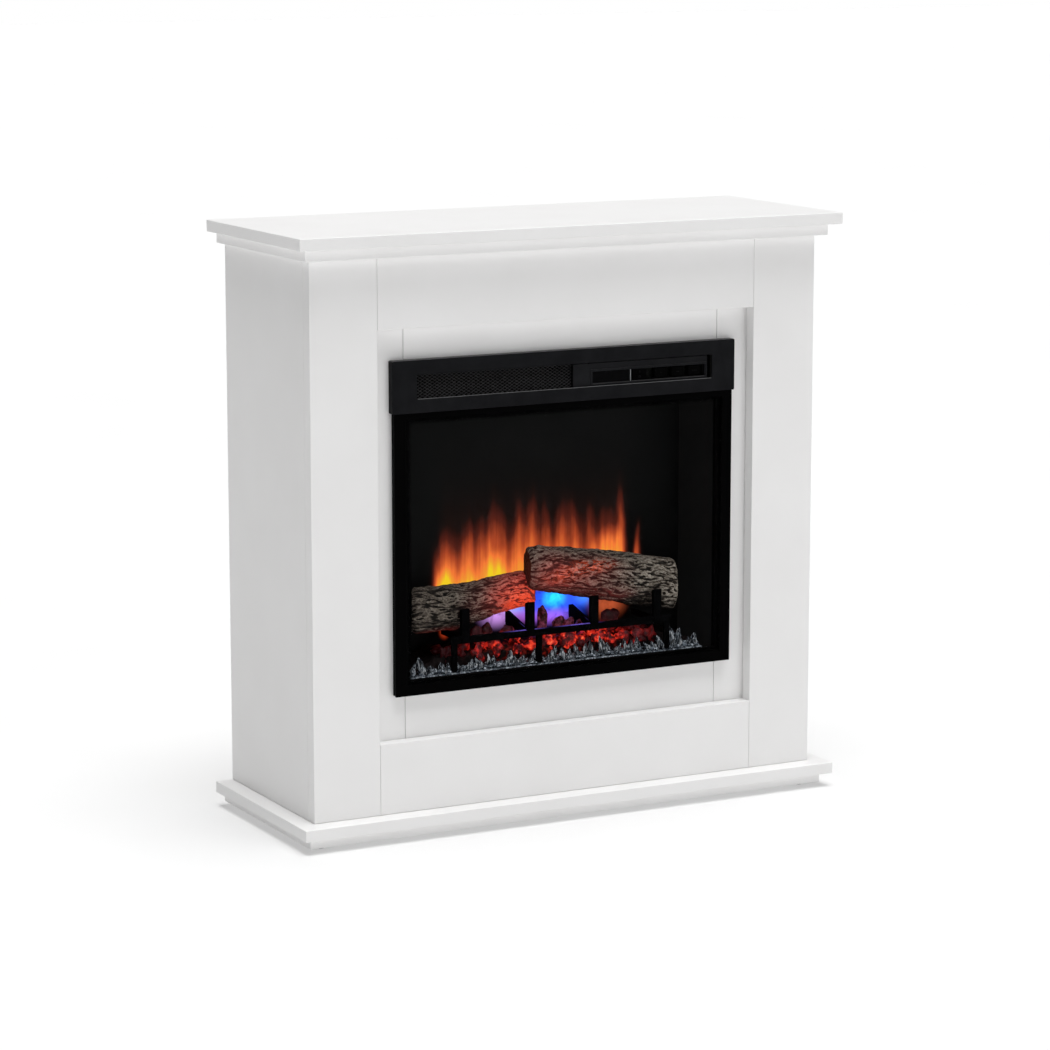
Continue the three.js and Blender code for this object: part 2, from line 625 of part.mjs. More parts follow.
function heater() {
  const { y, z } = ROTOR;
  const low = CEILING + SHEET + GAP;
  const high = 700;
  const left = ROTOR.left - 6;
  const right = ROTOR.right + 6;
  const front = -106;
  const back = y + ROTOR.radius + 5;
  const channelWall = [
    [front, low],
    [back, low],
    [back, high],
    [front, high],
    [front, high - SHEET],
    [back - SHEET, high - SHEET],
    [back - SHEET, low + SHEET],
    [front, low + SHEET],
  ];
  const cheeks = [left, right - SHEET].map((x) => boxBetween([x, x + SHEET], [front, back], [low, high]));
  const shaftHole = rodAlongX(ROTOR.shaft + 1.5, left - 1, right + 1, y, z, 20);
  const housing = solid(channel(channelWall, left, right)).add(solid(cheeks[0])).add(solid(cheeks[1]));
  add("heater_housing", geometryOf(housing.subtract(solid(shaftHole))), GALVANISED);

  const bearingX = [left - 8, left - GAP];
  const block = boxBetween(bearingX, [y - 9, y + 9], [z - 9, z + 9]);
  const bore = rodAlongX(ROTOR.shaft + GAP, bearingX[0] - 1, bearingX[1] + 1, y, z, 20);
  add("rotor_bearing", cut(block, bore), WHITE_PLASTIC);

  const can = rodAlongX(23, ROTOR.right + 20, ROTOR.right + 52, y, z, 32);
  const boss = rodAlongX(7, ROTOR.right + 14 + GAP, ROTOR.right + 21, y, z, 20);
  add("fan_motor", join(can, boss), GALVANISED);

  // The element is a comb of fins on one back bar.
  const fin = { pitch: 8, thickness: 2.5, front: front + 3, back: y - ROTOR.radius - 4 };
  const spine = boxBetween([left + 4, right - 4], [fin.back - 3, fin.back], [low + 4, high - 6]);
  const fins = [];
  for (let x = left + 6; x < right - 6; x += fin.pitch) {
    fins.push(boxBetween([x, x + fin.thickness], [fin.front, fin.back - 1], [low + 8, high - 10]));
  }
  add("heating_element", join(spine, ...fins), COPPER_GREY);

  const disc = new THREE.CylinderGeometry(9, 9, 6, 24).rotateX(Math.PI / 2);
  add("thermal_cutout", disc, GALVANISED, [(left + right) / 2, y, high + GAP + 3]);
}

// ---- Assembly -----------------------------------------------------------------------------------------

slabs();
uprights();
crossBoards();
backFrame();
glides();
wallBrackets();
shell();
backPanel();
cableGland();
insertBrackets();
header();
glassAndFrame();
grilleAndBezel();
keys();
controlBoard();
logs();
bed();
grate();
flameEffect();
rotor();
heater();

export default fireplace;
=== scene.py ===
"""Looks for the electric fireplace: finished surfaces, the log fire and the studio around the CAD frame.

Metres, X to the right of someone facing the front, Y to the back, Z up. Names ending in _MM are millimetres.
"""
import math
import random

import bmesh
import bpy
from mathutils import Matrix, Vector, noise

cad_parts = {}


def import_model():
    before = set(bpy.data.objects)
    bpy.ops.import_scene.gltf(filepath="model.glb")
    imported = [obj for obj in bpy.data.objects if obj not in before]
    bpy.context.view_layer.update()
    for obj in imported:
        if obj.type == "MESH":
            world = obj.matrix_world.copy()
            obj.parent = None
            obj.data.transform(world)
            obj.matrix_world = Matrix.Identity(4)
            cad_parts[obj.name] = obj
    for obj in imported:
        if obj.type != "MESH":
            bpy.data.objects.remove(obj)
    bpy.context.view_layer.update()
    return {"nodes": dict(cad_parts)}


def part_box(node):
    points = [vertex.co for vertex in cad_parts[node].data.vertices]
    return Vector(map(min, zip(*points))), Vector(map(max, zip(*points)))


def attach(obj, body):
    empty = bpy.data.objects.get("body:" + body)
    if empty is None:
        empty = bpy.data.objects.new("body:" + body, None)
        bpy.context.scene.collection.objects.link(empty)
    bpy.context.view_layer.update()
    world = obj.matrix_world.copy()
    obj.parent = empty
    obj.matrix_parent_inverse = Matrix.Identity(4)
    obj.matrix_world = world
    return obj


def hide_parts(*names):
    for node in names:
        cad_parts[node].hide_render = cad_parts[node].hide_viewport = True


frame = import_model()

MM = 0.001
ROOT = "fireplace"
BLACK = (0.0, 0.0, 0.0)


# ---- Mesh helpers ----

def placed(name, data):
    """A new object in the scene that holds a mesh, curve, light or camera."""
    made = bpy.data.objects.new(name, data)
    bpy.context.scene.collection.objects.link(made)
    return made


def dress(mesh, material):
    mesh.materials.clear()
    mesh.materials.append(material)


def new_piece(name, mesh, material, stands_for=(), body=ROOT):
    """A piece that rides on a body, takes a material slot and hides the CAD nodes that it stands for."""
    piece = placed(name, mesh)
    dress(mesh, material)
    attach(piece, body)
    if stands_for:
        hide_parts(*stands_for)
    return piece


def mesh_from(bm, name, smooth=True):
    bmesh.ops.recalc_face_normals(bm, faces=bm.faces)
    mesh = bpy.data.meshes.new(name)
    bm.to_mesh(mesh)
    bm.free()
    for polygon in mesh.polygons:
        polygon.use_smooth = smooth
    return mesh


def even_normals(piece):
    """Keeps large flat faces flat while the rounded edges beside them shade smoothly."""
    piece.modifiers.new("even_normals", "WEIGHTED_NORMAL").keep_sharp = True


def in_metres(*values):
    return [v * MM for v in values]


def band(lower, upper):
    """Four-sided faces between two closed rings of as many points each."""
    count = len(lower)
    for i in range(count):
        j = (i + 1) % count
        yield lower[i], lower[j], upper[j], upper[i]


def add_rounded_box(bm, low, high, radius, segments=3):
    """A box between two corners with rounded edges, added to an open bmesh."""
    size = [h - l for l, h in zip(low, high)]
    centre = Vector([(l + h) / 2 for l, h in zip(low, high)])
    place = Matrix.Translation(centre) @ Matrix.Diagonal((*size, 1))
    made = bmesh.ops.create_cube(bm, size=1.0, matrix=place)
    edges = list({edge for vertex in made["verts"] for edge in vertex.link_edges})
    bmesh.ops.bevel(bm, geom=edges, offset=radius, segments=segments, profile=0.5, affect="EDGES")


def rounded_boxes(name, boxes, radius, segments=3):
    bm = bmesh.new()
    for low, high in boxes:
        add_rounded_box(bm, low, high, radius, segments)
    return mesh_from(bm, name)


def rounded_outline(left, right, bottom, top, radius, steps=6):
    """Points of a rectangle with round corners, anticlockwise."""
    points = []
    for corner, (x, z) in enumerate(((right, bottom), (right, top), (left, top), (left, bottom))):
        inward_x = -radius if x == right else radius
        inward_z = radius if z == bottom else -radius
        for step in range(steps + 1):
            angle = math.radians(90 * (corner - 1) + 90 * step / steps)
            point_x = x + inward_x + radius * math.cos(angle)
            points.append((point_x, z + inward_z + radius * math.sin(angle)))
    return points


def plate_mesh(name, outlines, front, back, bevel):
    """A plate facing -Y, cut out by the outlines after the first, with its front and back edges rounded."""
    curve = bpy.data.curves.new(name, "CURVE")
    curve.dimensions = "2D"
    curve.fill_mode = "BOTH"
    curve.extrude = (back - front) / 2 - bevel
    curve.bevel_depth = bevel
    curve.bevel_resolution = 3
    curve.offset = -bevel
    for outline in outlines:
        spline = curve.splines.new("POLY")
        spline.points.add(len(outline) - 1)
        for point, (x, z) in zip(spline.points, outline):
            point.co = (x, z, 0, 1)
        spline.use_cyclic_u = True
    holder = placed(name, curve)
    bpy.context.view_layer.update()
    mesh = bpy.data.meshes.new_from_object(holder.evaluated_get(bpy.context.evaluated_depsgraph_get()))
    bpy.data.objects.remove(holder)
    bpy.data.curves.remove(curve)
    upright = Matrix.Translation((0, (front + back) / 2, 0)) @ Matrix.Rotation(math.pi / 2, 4, "X")
    mesh.transform(upright)
    return mesh


def joined(name, meshes):
    bm = bmesh.new()
    for mesh in meshes:
        bm.from_mesh(mesh)
        bpy.data.meshes.remove(mesh)
    return mesh_from(bm, name)


def add_lathe(bm, profile, base, axis, segments=24):
    """Turns (radius, height) points about an axis that starts at base."""
    turn = Vector(axis).normalized().to_track_quat("Z", "Y").to_matrix().to_4x4()
    place = Matrix.Translation(base) @ turn
    rings = []
    for radius, height in profile:
        ring = []
        for step in range(segments):
            angle = 2 * math.pi * step / segments
            local = Vector((radius * math.cos(angle), radius * math.sin(angle), height))
            ring.append(bm.verts.new(place @ local))
        rings.append(ring)
    for lower, upper in zip(rings, rings[1:]):
        for face in band(lower, upper):
            bm.faces.new(face)
    bm.faces.new(rings[0])
    bm.faces.new(rings[-1])


# ---- Node helpers ----

class Graph:
    """The node tree of a new material, or of the owner given, with short calls for the nodes used here."""

    def __init__(self, name=None, owner=None):
        self.owner = owner or bpy.data.materials.new(name)
        self.owner.use_nodes = True
        self.tree = self.owner.node_tree
        self.tree.nodes.clear()
        self.coordinates = self.node("TexCoord").outputs["Object"]

    def put(self, socket, value):
        """Links another node's output to a socket, or sets its value; a colour gains its alpha."""
        if isinstance(value, bpy.types.NodeSocket):
            self.tree.links.new(value, socket)
        else:
            socket.default_value = (*value, 1.0) if socket.type == "RGBA" and len(value) == 3 else value

    def node(self, kind, inputs=None, **settings):
        made = self.tree.nodes.new("ShaderNode" + kind)
        for key, value in settings.items():
            setattr(made, key, value)
        for key, value in (inputs or {}).items():
            self.put(made.inputs[key], value)
        return made

    def math(self, operation, a, b=0.0, c=0.0, clamp=False):
        made = self.node("Math", {0: a, 1: b, 2: c}, operation=operation, use_clamp=clamp)
        return made.outputs[0]

    def stretched(self, stretch):
        """Object coordinates in millimetres, scaled along each axis."""
        scaled = [1000 * s for s in stretch]
        return self.node("VectorMath", {0: self.coordinates, 1: scaled}, operation="MULTIPLY").outputs[0]

    def times(self, a, b, clamp=False):
        return self.math("MULTIPLY", a, b, clamp=clamp)

    def plus(self, a, b):
        return self.math("ADD", a, b)

    def minus(self, a, b, clamp=False):
        return self.math("SUBTRACT", a, b, clamp=clamp)

    def times_plus(self, a, b, c):
        return self.math("MULTIPLY_ADD", a, b, c)

    def span(self, value, start, end, low=0.0, high=1.0, kind="LINEAR"):
        """Carries a value from the range start to end over to the range low to high, held at both ends."""
        ranges = {"Value": value, "From Min": start, "From Max": end, "To Min": low, "To Max": high}
        return self.node("MapRange", ranges, interpolation_type=kind).outputs[0]

    def axes(self):
        """X, Y and Z in millimetres."""
        return self.node("SeparateXYZ", {0: self.stretched((1, 1, 1))}).outputs

    def noise(self, size_mm, detail=3.0, roughness=0.55, stretch=(1, 1, 1), distortion=0.0):
        vector = self.stretched([s / size_mm for s in stretch])
        grain = {"Scale": 1.0, "Detail": detail, "Roughness": roughness, "Distortion": distortion}
        return self.node("TexNoise", {"Vector": vector, **grain}).outputs["Fac"]

    def voronoi(self, size_mm, feature="F1", stretch=(1, 1, 1)):
        """A cell pattern's outputs: distance to each cell's point or edge, and a random colour per cell."""
        vector = self.stretched([s / size_mm for s in stretch])
        return self.node("TexVoronoi", {"Vector": vector, "Scale": 1.0}, feature=feature).outputs

    def cells(self, size_mm, feature="F1", stretch=(1, 1, 1)):
        return self.voronoi(size_mm, feature, stretch)["Distance"]

    def ramp(self, factor, stops):
        """Colours, or greys given as one number, along a factor."""
        made = self.node("ValToRGB", {"Fac": factor})
        ramp = made.color_ramp
        while len(ramp.elements) < len(stops):
            ramp.elements.new(0.5)
        for element, (position, colour) in zip(ramp.elements, stops):
            element.position = position
            shade = (colour, colour, colour) if isinstance(colour, float) else colour
            element.color = (*shade, 1.0)
        return made.outputs["Color"]

    def mix(self, factor, a, b, blend="MIX"):
        made = self.node("Mix", {0: factor}, data_type="RGBA", blend_type=blend)
        for index, value in ((6, a), (7, b)):
            self.put(made.inputs[index], value)
        return made.outputs[2]

    def added(self, a, b):
        """Two colours of light added up."""
        return self.mix(1.0, a, b, "ADD")

    def tinted(self, strength, colour):
        """A colour of light at a strength from 0 to 1."""
        return self.mix(strength, BLACK, colour)

    def bump(self, height, depth_mm, strength=1.0):
        relief = {"Height": height, "Distance": depth_mm * MM, "Strength": strength}
        return self.node("Bump", relief).outputs[0]

    def upward(self, low, high):
        """0 where the surface's normal leans down past low, 1 where it leans up past high."""
        normal = self.node("NewGeometry").outputs["Normal"]
        height = self.node("SeparateXYZ", {0: normal}).outputs[2]
        return self.span(height, low, high, kind="SMOOTHSTEP")

    def near(self, centre_mm, radius_mm):
        """1 at a point, fading smoothly to 0 at an ellipsoid's surface."""
        offset = self.node("VectorMath", {0: self.stretched((1, 1, 1)), 1: centre_mm}, operation="SUBTRACT")
        scaled = self.node("VectorMath", {0: offset.outputs[0], 1: radius_mm}, operation="DIVIDE")
        length = self.node("VectorMath", {0: scaled.outputs[0]}, operation="LENGTH").outputs["Value"]
        return self.span(length, 1.0, 0.0, kind="SMOOTHSTEP")

    def spots(self, places, total=0.0):
        """Soft spots of given centre, radii and power, added to a total."""
        for centre, radii, power in places:
            total = self.times_plus(self.near(centre, radii), power, total)
        return total

    def finish(self, shader):
        output = self.node("OutputMaterial", {"Surface": shader})
        output.is_active_output = True
        return self.owner

    def principled(self, colour, roughness, normal=None, specular=0.5, shine=None, **sockets):
        values = {"Base Color": colour, "Roughness": roughness, "Specular IOR Level": specular}
        if normal is not None:
            values["Normal"] = normal
        if shine is not None:
            values["Emission Color"] = shine
            values["Emission Strength"] = 1.0
        for key, value in sockets.items():
            values[key.replace("_", " ").title().replace("Ior", "IOR")] = value
        return self.node("BsdfPrincipled", values).outputs[0]

    def surface(self, *looks, **sockets):
        """Finishes the material with one principled shader."""
        return self.finish(self.principled(*looks, **sockets))


# ---- Materials ----

def white_foil():
    """Satin white foil on board: a fine pressed grain and barely uneven tone."""
    g = Graph("white_foil")
    cloud = g.noise(140, 2)
    grain = g.noise(0.9, 4, 0.6, (1, 1, 0.35))
    tone = g.times_plus(grain, 0.25, g.times(cloud, 0.75))
    colour = g.ramp(tone, [(0.3, (0.852, 0.846, 0.842)), (0.7, (0.884, 0.880, 0.877))])
    roughness = g.times_plus(grain, 0.16, 0.36)
    normal = g.bump(g.noise(1.6, 4, 0.6, (1, 1, 0.3)), 0.05, 0.35)
    return g.surface(colour, roughness, normal)


def raw_board():
    """Bare fibreboard: brown fibres pressed flat."""
    g = Graph("raw_board")
    fibres = g.noise(2.2, 6, 0.7, (1, 1, 2.2))
    cloud = g.noise(60, 3)
    tone = g.times_plus(fibres, 0.6, g.times(cloud, 0.4))
    strands = g.noise(5, 5, 0.7, (0.25, 1, 1))
    tone = g.times_plus(strands, 0.5, g.times(tone, 0.5))
    colour = g.ramp(tone, [
        (0.36, (0.28, 0.18, 0.105)),
        (0.5, (0.47, 0.34, 0.22)),
        (0.64, (0.66, 0.53, 0.38)),
    ])
    normal = g.bump(fibres, 0.12, 0.6)
    return g.surface(colour, 0.85, normal)


def powder_coat(name, colour, roughness, edge=0.0, texture_mm=0.9, depth_mm=0.03):
    """Baked paint with its orange peel; edge is the tone of faces that look up, a painted highlight where
    the overhead light falls, varied by the dust noise.
    """
    g = Graph(name)
    peel = g.noise(texture_mm, 3, 0.5)
    dust = g.noise(35, 4, 0.65)
    lift = tuple(min(1.0, 1.35 * c + 0.003) for c in colour)
    shade = g.mix(g.ramp(dust, [(0.35, 0.0), (0.75, 1.0)]), colour, lift)
    if edge:
        # Painted highlight: faces that look up are lifted towards the edge tone, as where the overhead light
        # falls.
        painted_top_highlight = g.times(g.upward(0.25, 0.9), g.times_plus(dust, 0.8, 0.6))
        shade = g.mix(painted_top_highlight, shade, (edge, edge, 1.03 * edge))
    rough = g.times_plus(dust, 0.12, roughness - 0.06)
    return g.surface(shade, rough, g.bump(peel, depth_mm, 0.5), specular=0.05)


def zinc_sheet():
    """Hot-dip galvanised sheet: angular spangles and a soft directionless shine."""
    g = Graph("zinc_sheet")
    facet = g.node("SeparateColor", {0: g.voronoi(9)["Color"]}).outputs[0]
    scratch = g.noise(1.2, 3, 0.6, (0.2, 1, 1))
    tone = g.times_plus(scratch, 0.3, g.times(facet, 0.7))
    colour = g.ramp(tone, [(0.1, (0.36, 0.37, 0.385)), (0.9, (0.58, 0.59, 0.6))])
    roughness = g.times_plus(facet, 0.2, 0.3)
    return g.surface(colour, roughness, g.bump(scratch, 0.02, 0.4), metallic=0.9)


def moulded_plastic(name, colour, roughness=0.5, specular=0.06):
    """Injection-moulded plastic with a fine spark-eroded texture."""
    g = Graph(name)
    spark = g.noise(0.5, 3, 0.6)
    cloud = g.noise(18, 3)
    lift = tuple(min(1.0, 1.25 * c + 0.002) for c in colour)
    shade = g.mix(cloud, colour, lift)
    rough = g.times_plus(spark, 0.18, roughness - 0.09)
    return g.surface(shade, rough, g.bump(spark, 0.03, 0.5), specular=specular)


def gloss_lens():
    g = Graph("gloss_lens")
    haze = g.noise(9, 3)
    colour = g.ramp(haze, [(0.3, (0.001, 0.001, 0.0012)), (0.8, (0.002, 0.002, 0.0024))])
    roughness = g.times_plus(haze, 0.06, 0.04)
    return g.surface(colour, roughness, specular=0.02)


def lens_edge_painted_highlight():
    """The cut edge of the clear lens, pale grey as a painted highlight."""
    g = Graph("lens_edge_painted_highlight")
    highlight_mottle = g.noise(1.5, 3)
    colour = g.ramp(highlight_mottle, [(0.3, (0.22, 0.23, 0.24)), (0.8, (0.36, 0.37, 0.38))])
    return g.surface(colour, 0.3, g.bump(highlight_mottle, 0.02))


def grate_iron():
    """Rough black paint over a pitted casting, its top catching a little of the blue light behind it."""
    g = Graph("grate_iron")
    pits = g.noise(2.4, 5, 0.65)
    flakes = g.cells(3.2)
    tone = g.times(pits, flakes)
    colour = g.ramp(tone, [(0.1, (0.0010, 0.0010, 0.0012)), (0.55, (0.0036, 0.0034, 0.0038))])
    roughness = g.times_plus(pits, 0.2, 0.75)
    caught = g.spots((((-58, -103, 293), (44, 40, 20), 1.0), ((34, -103, 293), (50, 40, 20), 1.0)))
    rough_top = g.times(g.upward(0.35, 0.8), g.ramp(pits, [(0.35, 0.2), (0.6, 1.0)]))
    shine = g.tinted(g.times(caught, rough_top), (0.20, 0.13, 0.75))
    return g.surface(colour, roughness, g.bump(tone, 0.3, 0.6), 0.015, shine)


def circuit_black():
    """Black solder mask with slightly raised tracks."""
    g = Graph("circuit_black")
    tracks = g.cells(5, "DISTANCE_TO_EDGE")
    colour = g.ramp(tracks, [(0.04, (0.009, 0.010, 0.009)), (0.1, (0.0015, 0.0018, 0.0015))])
    return g.surface(colour, 0.5, g.bump(tracks, 0.05, 0.5), specular=0.05)


def side_black():
    """Matt black side walls of the fire space, faintly lit all over by the fire between them."""
    g = Graph("side_black")
    dust = g.noise(35, 4, 0.65)
    colour = g.ramp(dust, [(0.35, 0.0028), (0.75, 0.0040)])
    glow = g.ramp(dust, [(0.35, 0.0024), (0.75, (0.0032, 0.0031, 0.0030))])
    return g.surface(colour, 0.8, specular=0.05, shine=glow)


def fins_painted_shade():
    # Near black as painted shade: the heater's fins and the rotor bearing sit in the dark duct behind the
    # grille.
    g = Graph("fins_painted_shade")
    heat = g.noise(12, 4)
    colour = g.ramp(heat, [(0.3, (0.004, 0.0035, 0.003)), (0.7, (0.008, 0.007, 0.0065))])
    return g.surface(colour, 0.7, g.bump(g.noise(0.8, 3), 0.03), specular=0.05)


def edge_printed_glass():
    """Clear toughened glass whose edge is printed black, the print fading inwards over a few millimetres."""
    low, high = (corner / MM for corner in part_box("front_glass"))
    # The print is measured inwards from a rectangle that is set a little off the pane's own edges.
    left, right, bottom, top = low.x - 3.0, high.x + 6.0, low.z - 6.0, high.z + 14.0
    solid_to, clear_from = 23.0, 34.0
    g = Graph("edge_printed_glass")
    x, _, z = g.axes()
    from_side = g.math("MINIMUM", g.minus(x, left), g.minus(right, x))
    from_end = g.math("MINIMUM", g.minus(z, bottom), g.minus(top, z))
    dots = g.times(g.cells(1.1), 3.0)
    inset = g.plus(g.math("MINIMUM", from_side, from_end), dots)
    print_edge = g.span(inset, solid_to, clear_from, 1.0, 0.0, "SMOOTHSTEP")
    smear = g.noise(90, 4, 0.6)
    tint = g.ramp(smear, [(0.3, (0.93, 0.935, 0.94)), (0.7, (0.95, 0.955, 0.96))])
    clear = g.node("BsdfTransparent", {"Color": tint}).outputs[0]
    ink = g.ramp(smear, [(0.3, (0.0004, 0.0004, 0.0005)), (0.7, (0.0009, 0.0009, 0.001))])
    printed = g.principled(ink, 0.2, specular=0.01)
    return g.finish(g.node("MixShader", {0: print_edge, 1: clear, 2: printed}).outputs[0])


# The flames that the screen shows: foot x, half width, tip height, lean at the tip (mm) and brightness.
FLAME_FOOT_MM = 352
BASE_GLOW_HEIGHT_MM = 58
LEFT_FADE_MM = (-168.0, -150.0)
RIGHT_FADE_MM = (176.0, 156.0)
FLAMES = (
    (-164, 9, 430, -8, 0.45),
    (-153, 13, 456, -6, 0.7),
    (-138, 11, 440, -6, 0.55),
    (-124, 11, 440, 3, 0.45),
    (-112, 14, 462, -2, 0.55),
    (-108, 6, 498, -3, 0.3),
    (-90, 14, 470, 1, 0.65),
    (-74, 10, 490, 3, 0.45),
    (-63, 12, 516, -5, 0.5),
    (-50, 10, 496, -6, 0.5),
    (-24, 13, 502, 1, 0.8),
    (-6, 9, 500, 2, 0.5),
    (5, 11, 516, -3, 0.7),
    (27, 11, 498, -5, 0.7),
    (46, 12, 474, 2, 0.65),
    (58, 9, 502, -3, 0.5),
    (80, 13, 496, -15, 0.65),
    (107, 11, 480, -8, 0.65),
    (124, 12, 470, 2, 0.6),
    (139, 11, 470, -2, 0.6),
    (155, 9, 520, 3, 0.85),
    (184, 7, 440, 8, 1.1),
)
FLAME_HEARTS = (
    ((-154, -15, 352), (20, 40, 40), 0.55),
    ((-66, -15, 366), (26, 40, 44), 0.7),
    ((-108, -15, 352), (26, 40, 30), 0.25),
    ((138, -15, 398), (34, 40, 34), 0.3),
)


# The light under the logs: centre, radii (mm) and colour.
LOWER_LIGHTS = (
    ((42, -15, 316), (84, 40, 46), (0.05, 0.18, 1.9)),
    ((38, -15, 319), (27, 40, 22), (0.0, 1.1, 0.9)),
    ((94, -15, 322), (28, 40, 26), (0.08, 0.35, 1.2)),
    ((-30, -15, 322), (34, 40, 30), (0.10, 0.6, 1.3)),
    ((-62, -15, 303), (44, 40, 30), (0.75, 0.36, 1.0)),
    ((-18, -15, 298), (40, 40, 22), (0.40, 0.12, 0.6)),
    ((34, -15, 290), (60, 40, 18), (0.42, 0.10, 0.5)),
    ((134, -15, 302), (44, 40, 34), (0.60, 0.105, 0.035)),
    ((-154, -15, 284), (12, 40, 16), (0.6, 0.05, 0.01)),
)


def flame_tongue(g, x, z, flame):
    """How bright one flame is at a point: a soft column that narrows, leans and dies out towards its tip."""
    foot, half_width, tip, lean, brightness = flame
    height = tip - FLAME_FOOT_MM
    rise = g.times_plus(z, 1 / height, -FLAME_FOOT_MM / height)
    offset = g.times_plus(rise, -lean, g.minus(x, float(foot)))
    spread = g.times_plus(rise, -0.5 * half_width, float(half_width))
    across = g.math("DIVIDE", offset, g.math("MAXIMUM", spread, 1.0))
    column = g.math("POWER", 0.37, g.times(across, across))
    fade = g.math("POWER", g.minus(1.0, rise, clamp=True), 1.25)
    return g.times(column, g.times(fade, brightness))


def flame_light(g):
    """The whole curtain of flame on the screen, as a number from 0 to a little over 1."""
    x, _, z = g.axes()
    sway = g.noise(38, 2, 0.5, (1, 1, 0.45))
    x = g.plus(x, g.times_plus(sway, 14.0, -7.0))
    light = 0.0
    for flame in FLAMES:
        light = g.plus(light, flame_tongue(g, x, z, flame))
    light = g.spots(FLAME_HEARTS, light)
    within = g.times(g.span(x, *LEFT_FADE_MM), g.span(x, *RIGHT_FADE_MM))
    above = g.minus(z, float(FLAME_FOOT_MM))
    height = g.times(g.math("MAXIMUM", above, 0.0), 1 / BASE_GLOW_HEIGHT_MM)
    base = g.math("POWER", 0.37, g.math("POWER", height, 1.4))
    base = g.times(base, g.times(within, 0.6))
    started = g.span(above, -22.0, -4.0)
    streaks = g.times_plus(g.noise(8, 2, 0.5, (1, 1, 0.06)), 0.9, 0.55)
    wisps = g.times_plus(g.noise(26, 3, 0.55, (1, 1, 0.4)), 0.9, 0.55)
    return g.times(g.times(g.plus(light, base), started), g.times(streaks, wisps))


def flame_screen():
    """The dark screen: flames above the logs, and the blue, violet and amber light that shows under them."""
    g = Graph("flame_screen")
    flames = g.ramp(g.times(flame_light(g), 0.61), [
        (0.0, (0.0, 0.0, 0.0)),
        (0.05, (0.008, 0.002, 0.001)),
        (0.15, (0.095, 0.013, 0.006)),
        (0.33, (0.48, 0.070, 0.020)),
        (0.56, (1.0, 0.205, 0.040)),
        (0.8, (1.0, 0.40, 0.035)),
        (1.0, (1.0, 0.68, 0.02)),
    ])
    ripple = g.ramp(g.noise(18, 4, 0.6, (1, 1, 0.7), 0.6), [(0.3, 0.5), (0.52, 1.0)])
    lower = BLACK
    for centre, radii, colour in LOWER_LIGHTS:
        lower = g.added(lower, g.tinted(g.times(g.near(centre, radii), ripple), colour))
    base = g.ramp(g.noise(120, 3), [(0.3, (0.0068, 0.0066, 0.0066)), (0.7, (0.0086, 0.0083, 0.0082))])
    return g.surface(base, 0.55, specular=0.03, shine=g.added(flames, lower))


def bark(name, glows, seams):
    """Painted cast bark. The relief attribute is 0 in the furrows and 1 on the plates between them.

    Glows tint the bark red from below; seams are where thin lines of fire show in its furrows.
    """
    g = Graph(name)
    relief = g.node("Attribute", attribute_name="relief").outputs["Fac"]
    flecks = g.noise(2.6, 5, 0.75, (0.6, 1, 1))
    patches = g.noise(30, 3, 0.6)
    # The bark's tone grows paler towards the right, from x 60 to 190 mm.
    paler_to_right = g.span(g.axes()[0], 60.0, 190.0, -0.04, 0.08)
    # Darker in the furrows and paler on the plates: partly the bark's own colour, partly painted shade in
    # the furrows.
    tone = g.plus(g.times_plus(flecks, 1.1, g.times_plus(relief, 0.62, -0.62)), paler_to_right)
    colour = g.ramp(tone, [
        (0.0, (0.004, 0.003, 0.0025)),
        (0.2, (0.018, 0.014, 0.011)),
        (0.4, (0.098, 0.079, 0.063)),
        (0.58, (0.25, 0.21, 0.168)),
        (0.8, (0.66, 0.60, 0.51)),
    ])
    colour = g.mix(g.ramp(patches, [(0.45, 0.0), (0.72, 0.4)]), colour, (0.03, 0.021, 0.016))
    # Painted shade: faces that look down are darkened towards black.
    colour = g.mix(g.upward(-0.1, -0.85), colour, (0.004, 0.003, 0.0025))
    glow = g.spots(glows)
    ridges = g.ramp(tone, [(0.06, 0.2), (0.4, 0.7), (0.8, 1.0)])
    shine = g.ramp(g.times(glow, ridges), [
        (0.0, 0.0),
        (0.2, (0.065, 0.006, 0.005)),
        (0.5, (0.27, 0.020, 0.013)),
        (1.0, (0.86, 0.060, 0.016)),
    ])
    colour = g.mix(g.times(glow, 0.45, clamp=True), colour, (0.06, 0.022, 0.019))
    lines = g.ramp(g.noise(7, 4, 0.6, (0.35, 1, 1), 1.2), [(0.44, 0.0), (0.5, 1.0), (0.56, 0.0)])
    fire = g.tinted(g.times(g.spots(seams), lines), (0.62, 0.07, 0.02))
    return g.surface(colour, 0.85, g.bump(g.noise(1.6, 4, 0.7), 0.6, 0.8), 0.15, g.added(shine, fire))


def coal_mat():
    """The dark moulded mat under the embers, with a little red light in its hollows."""
    g = Graph("coal_mat")
    ash = g.noise(6, 5, 0.7)
    colour = g.ramp(ash, [(0.3, (0.003, 0.002, 0.002)), (0.7, (0.014, 0.008, 0.008))])
    hollows = g.ramp(g.noise(10, 3), [(0.5, 0.0), (0.72, 1.0)])
    red = g.times(g.near((5, -70, 262), (190, 60, 50)), hollows)
    return g.surface(colour, 0.8, g.bump(ash, 0.8, 0.8), 0.1, g.tinted(red, (0.3, 0.012, 0.005)))


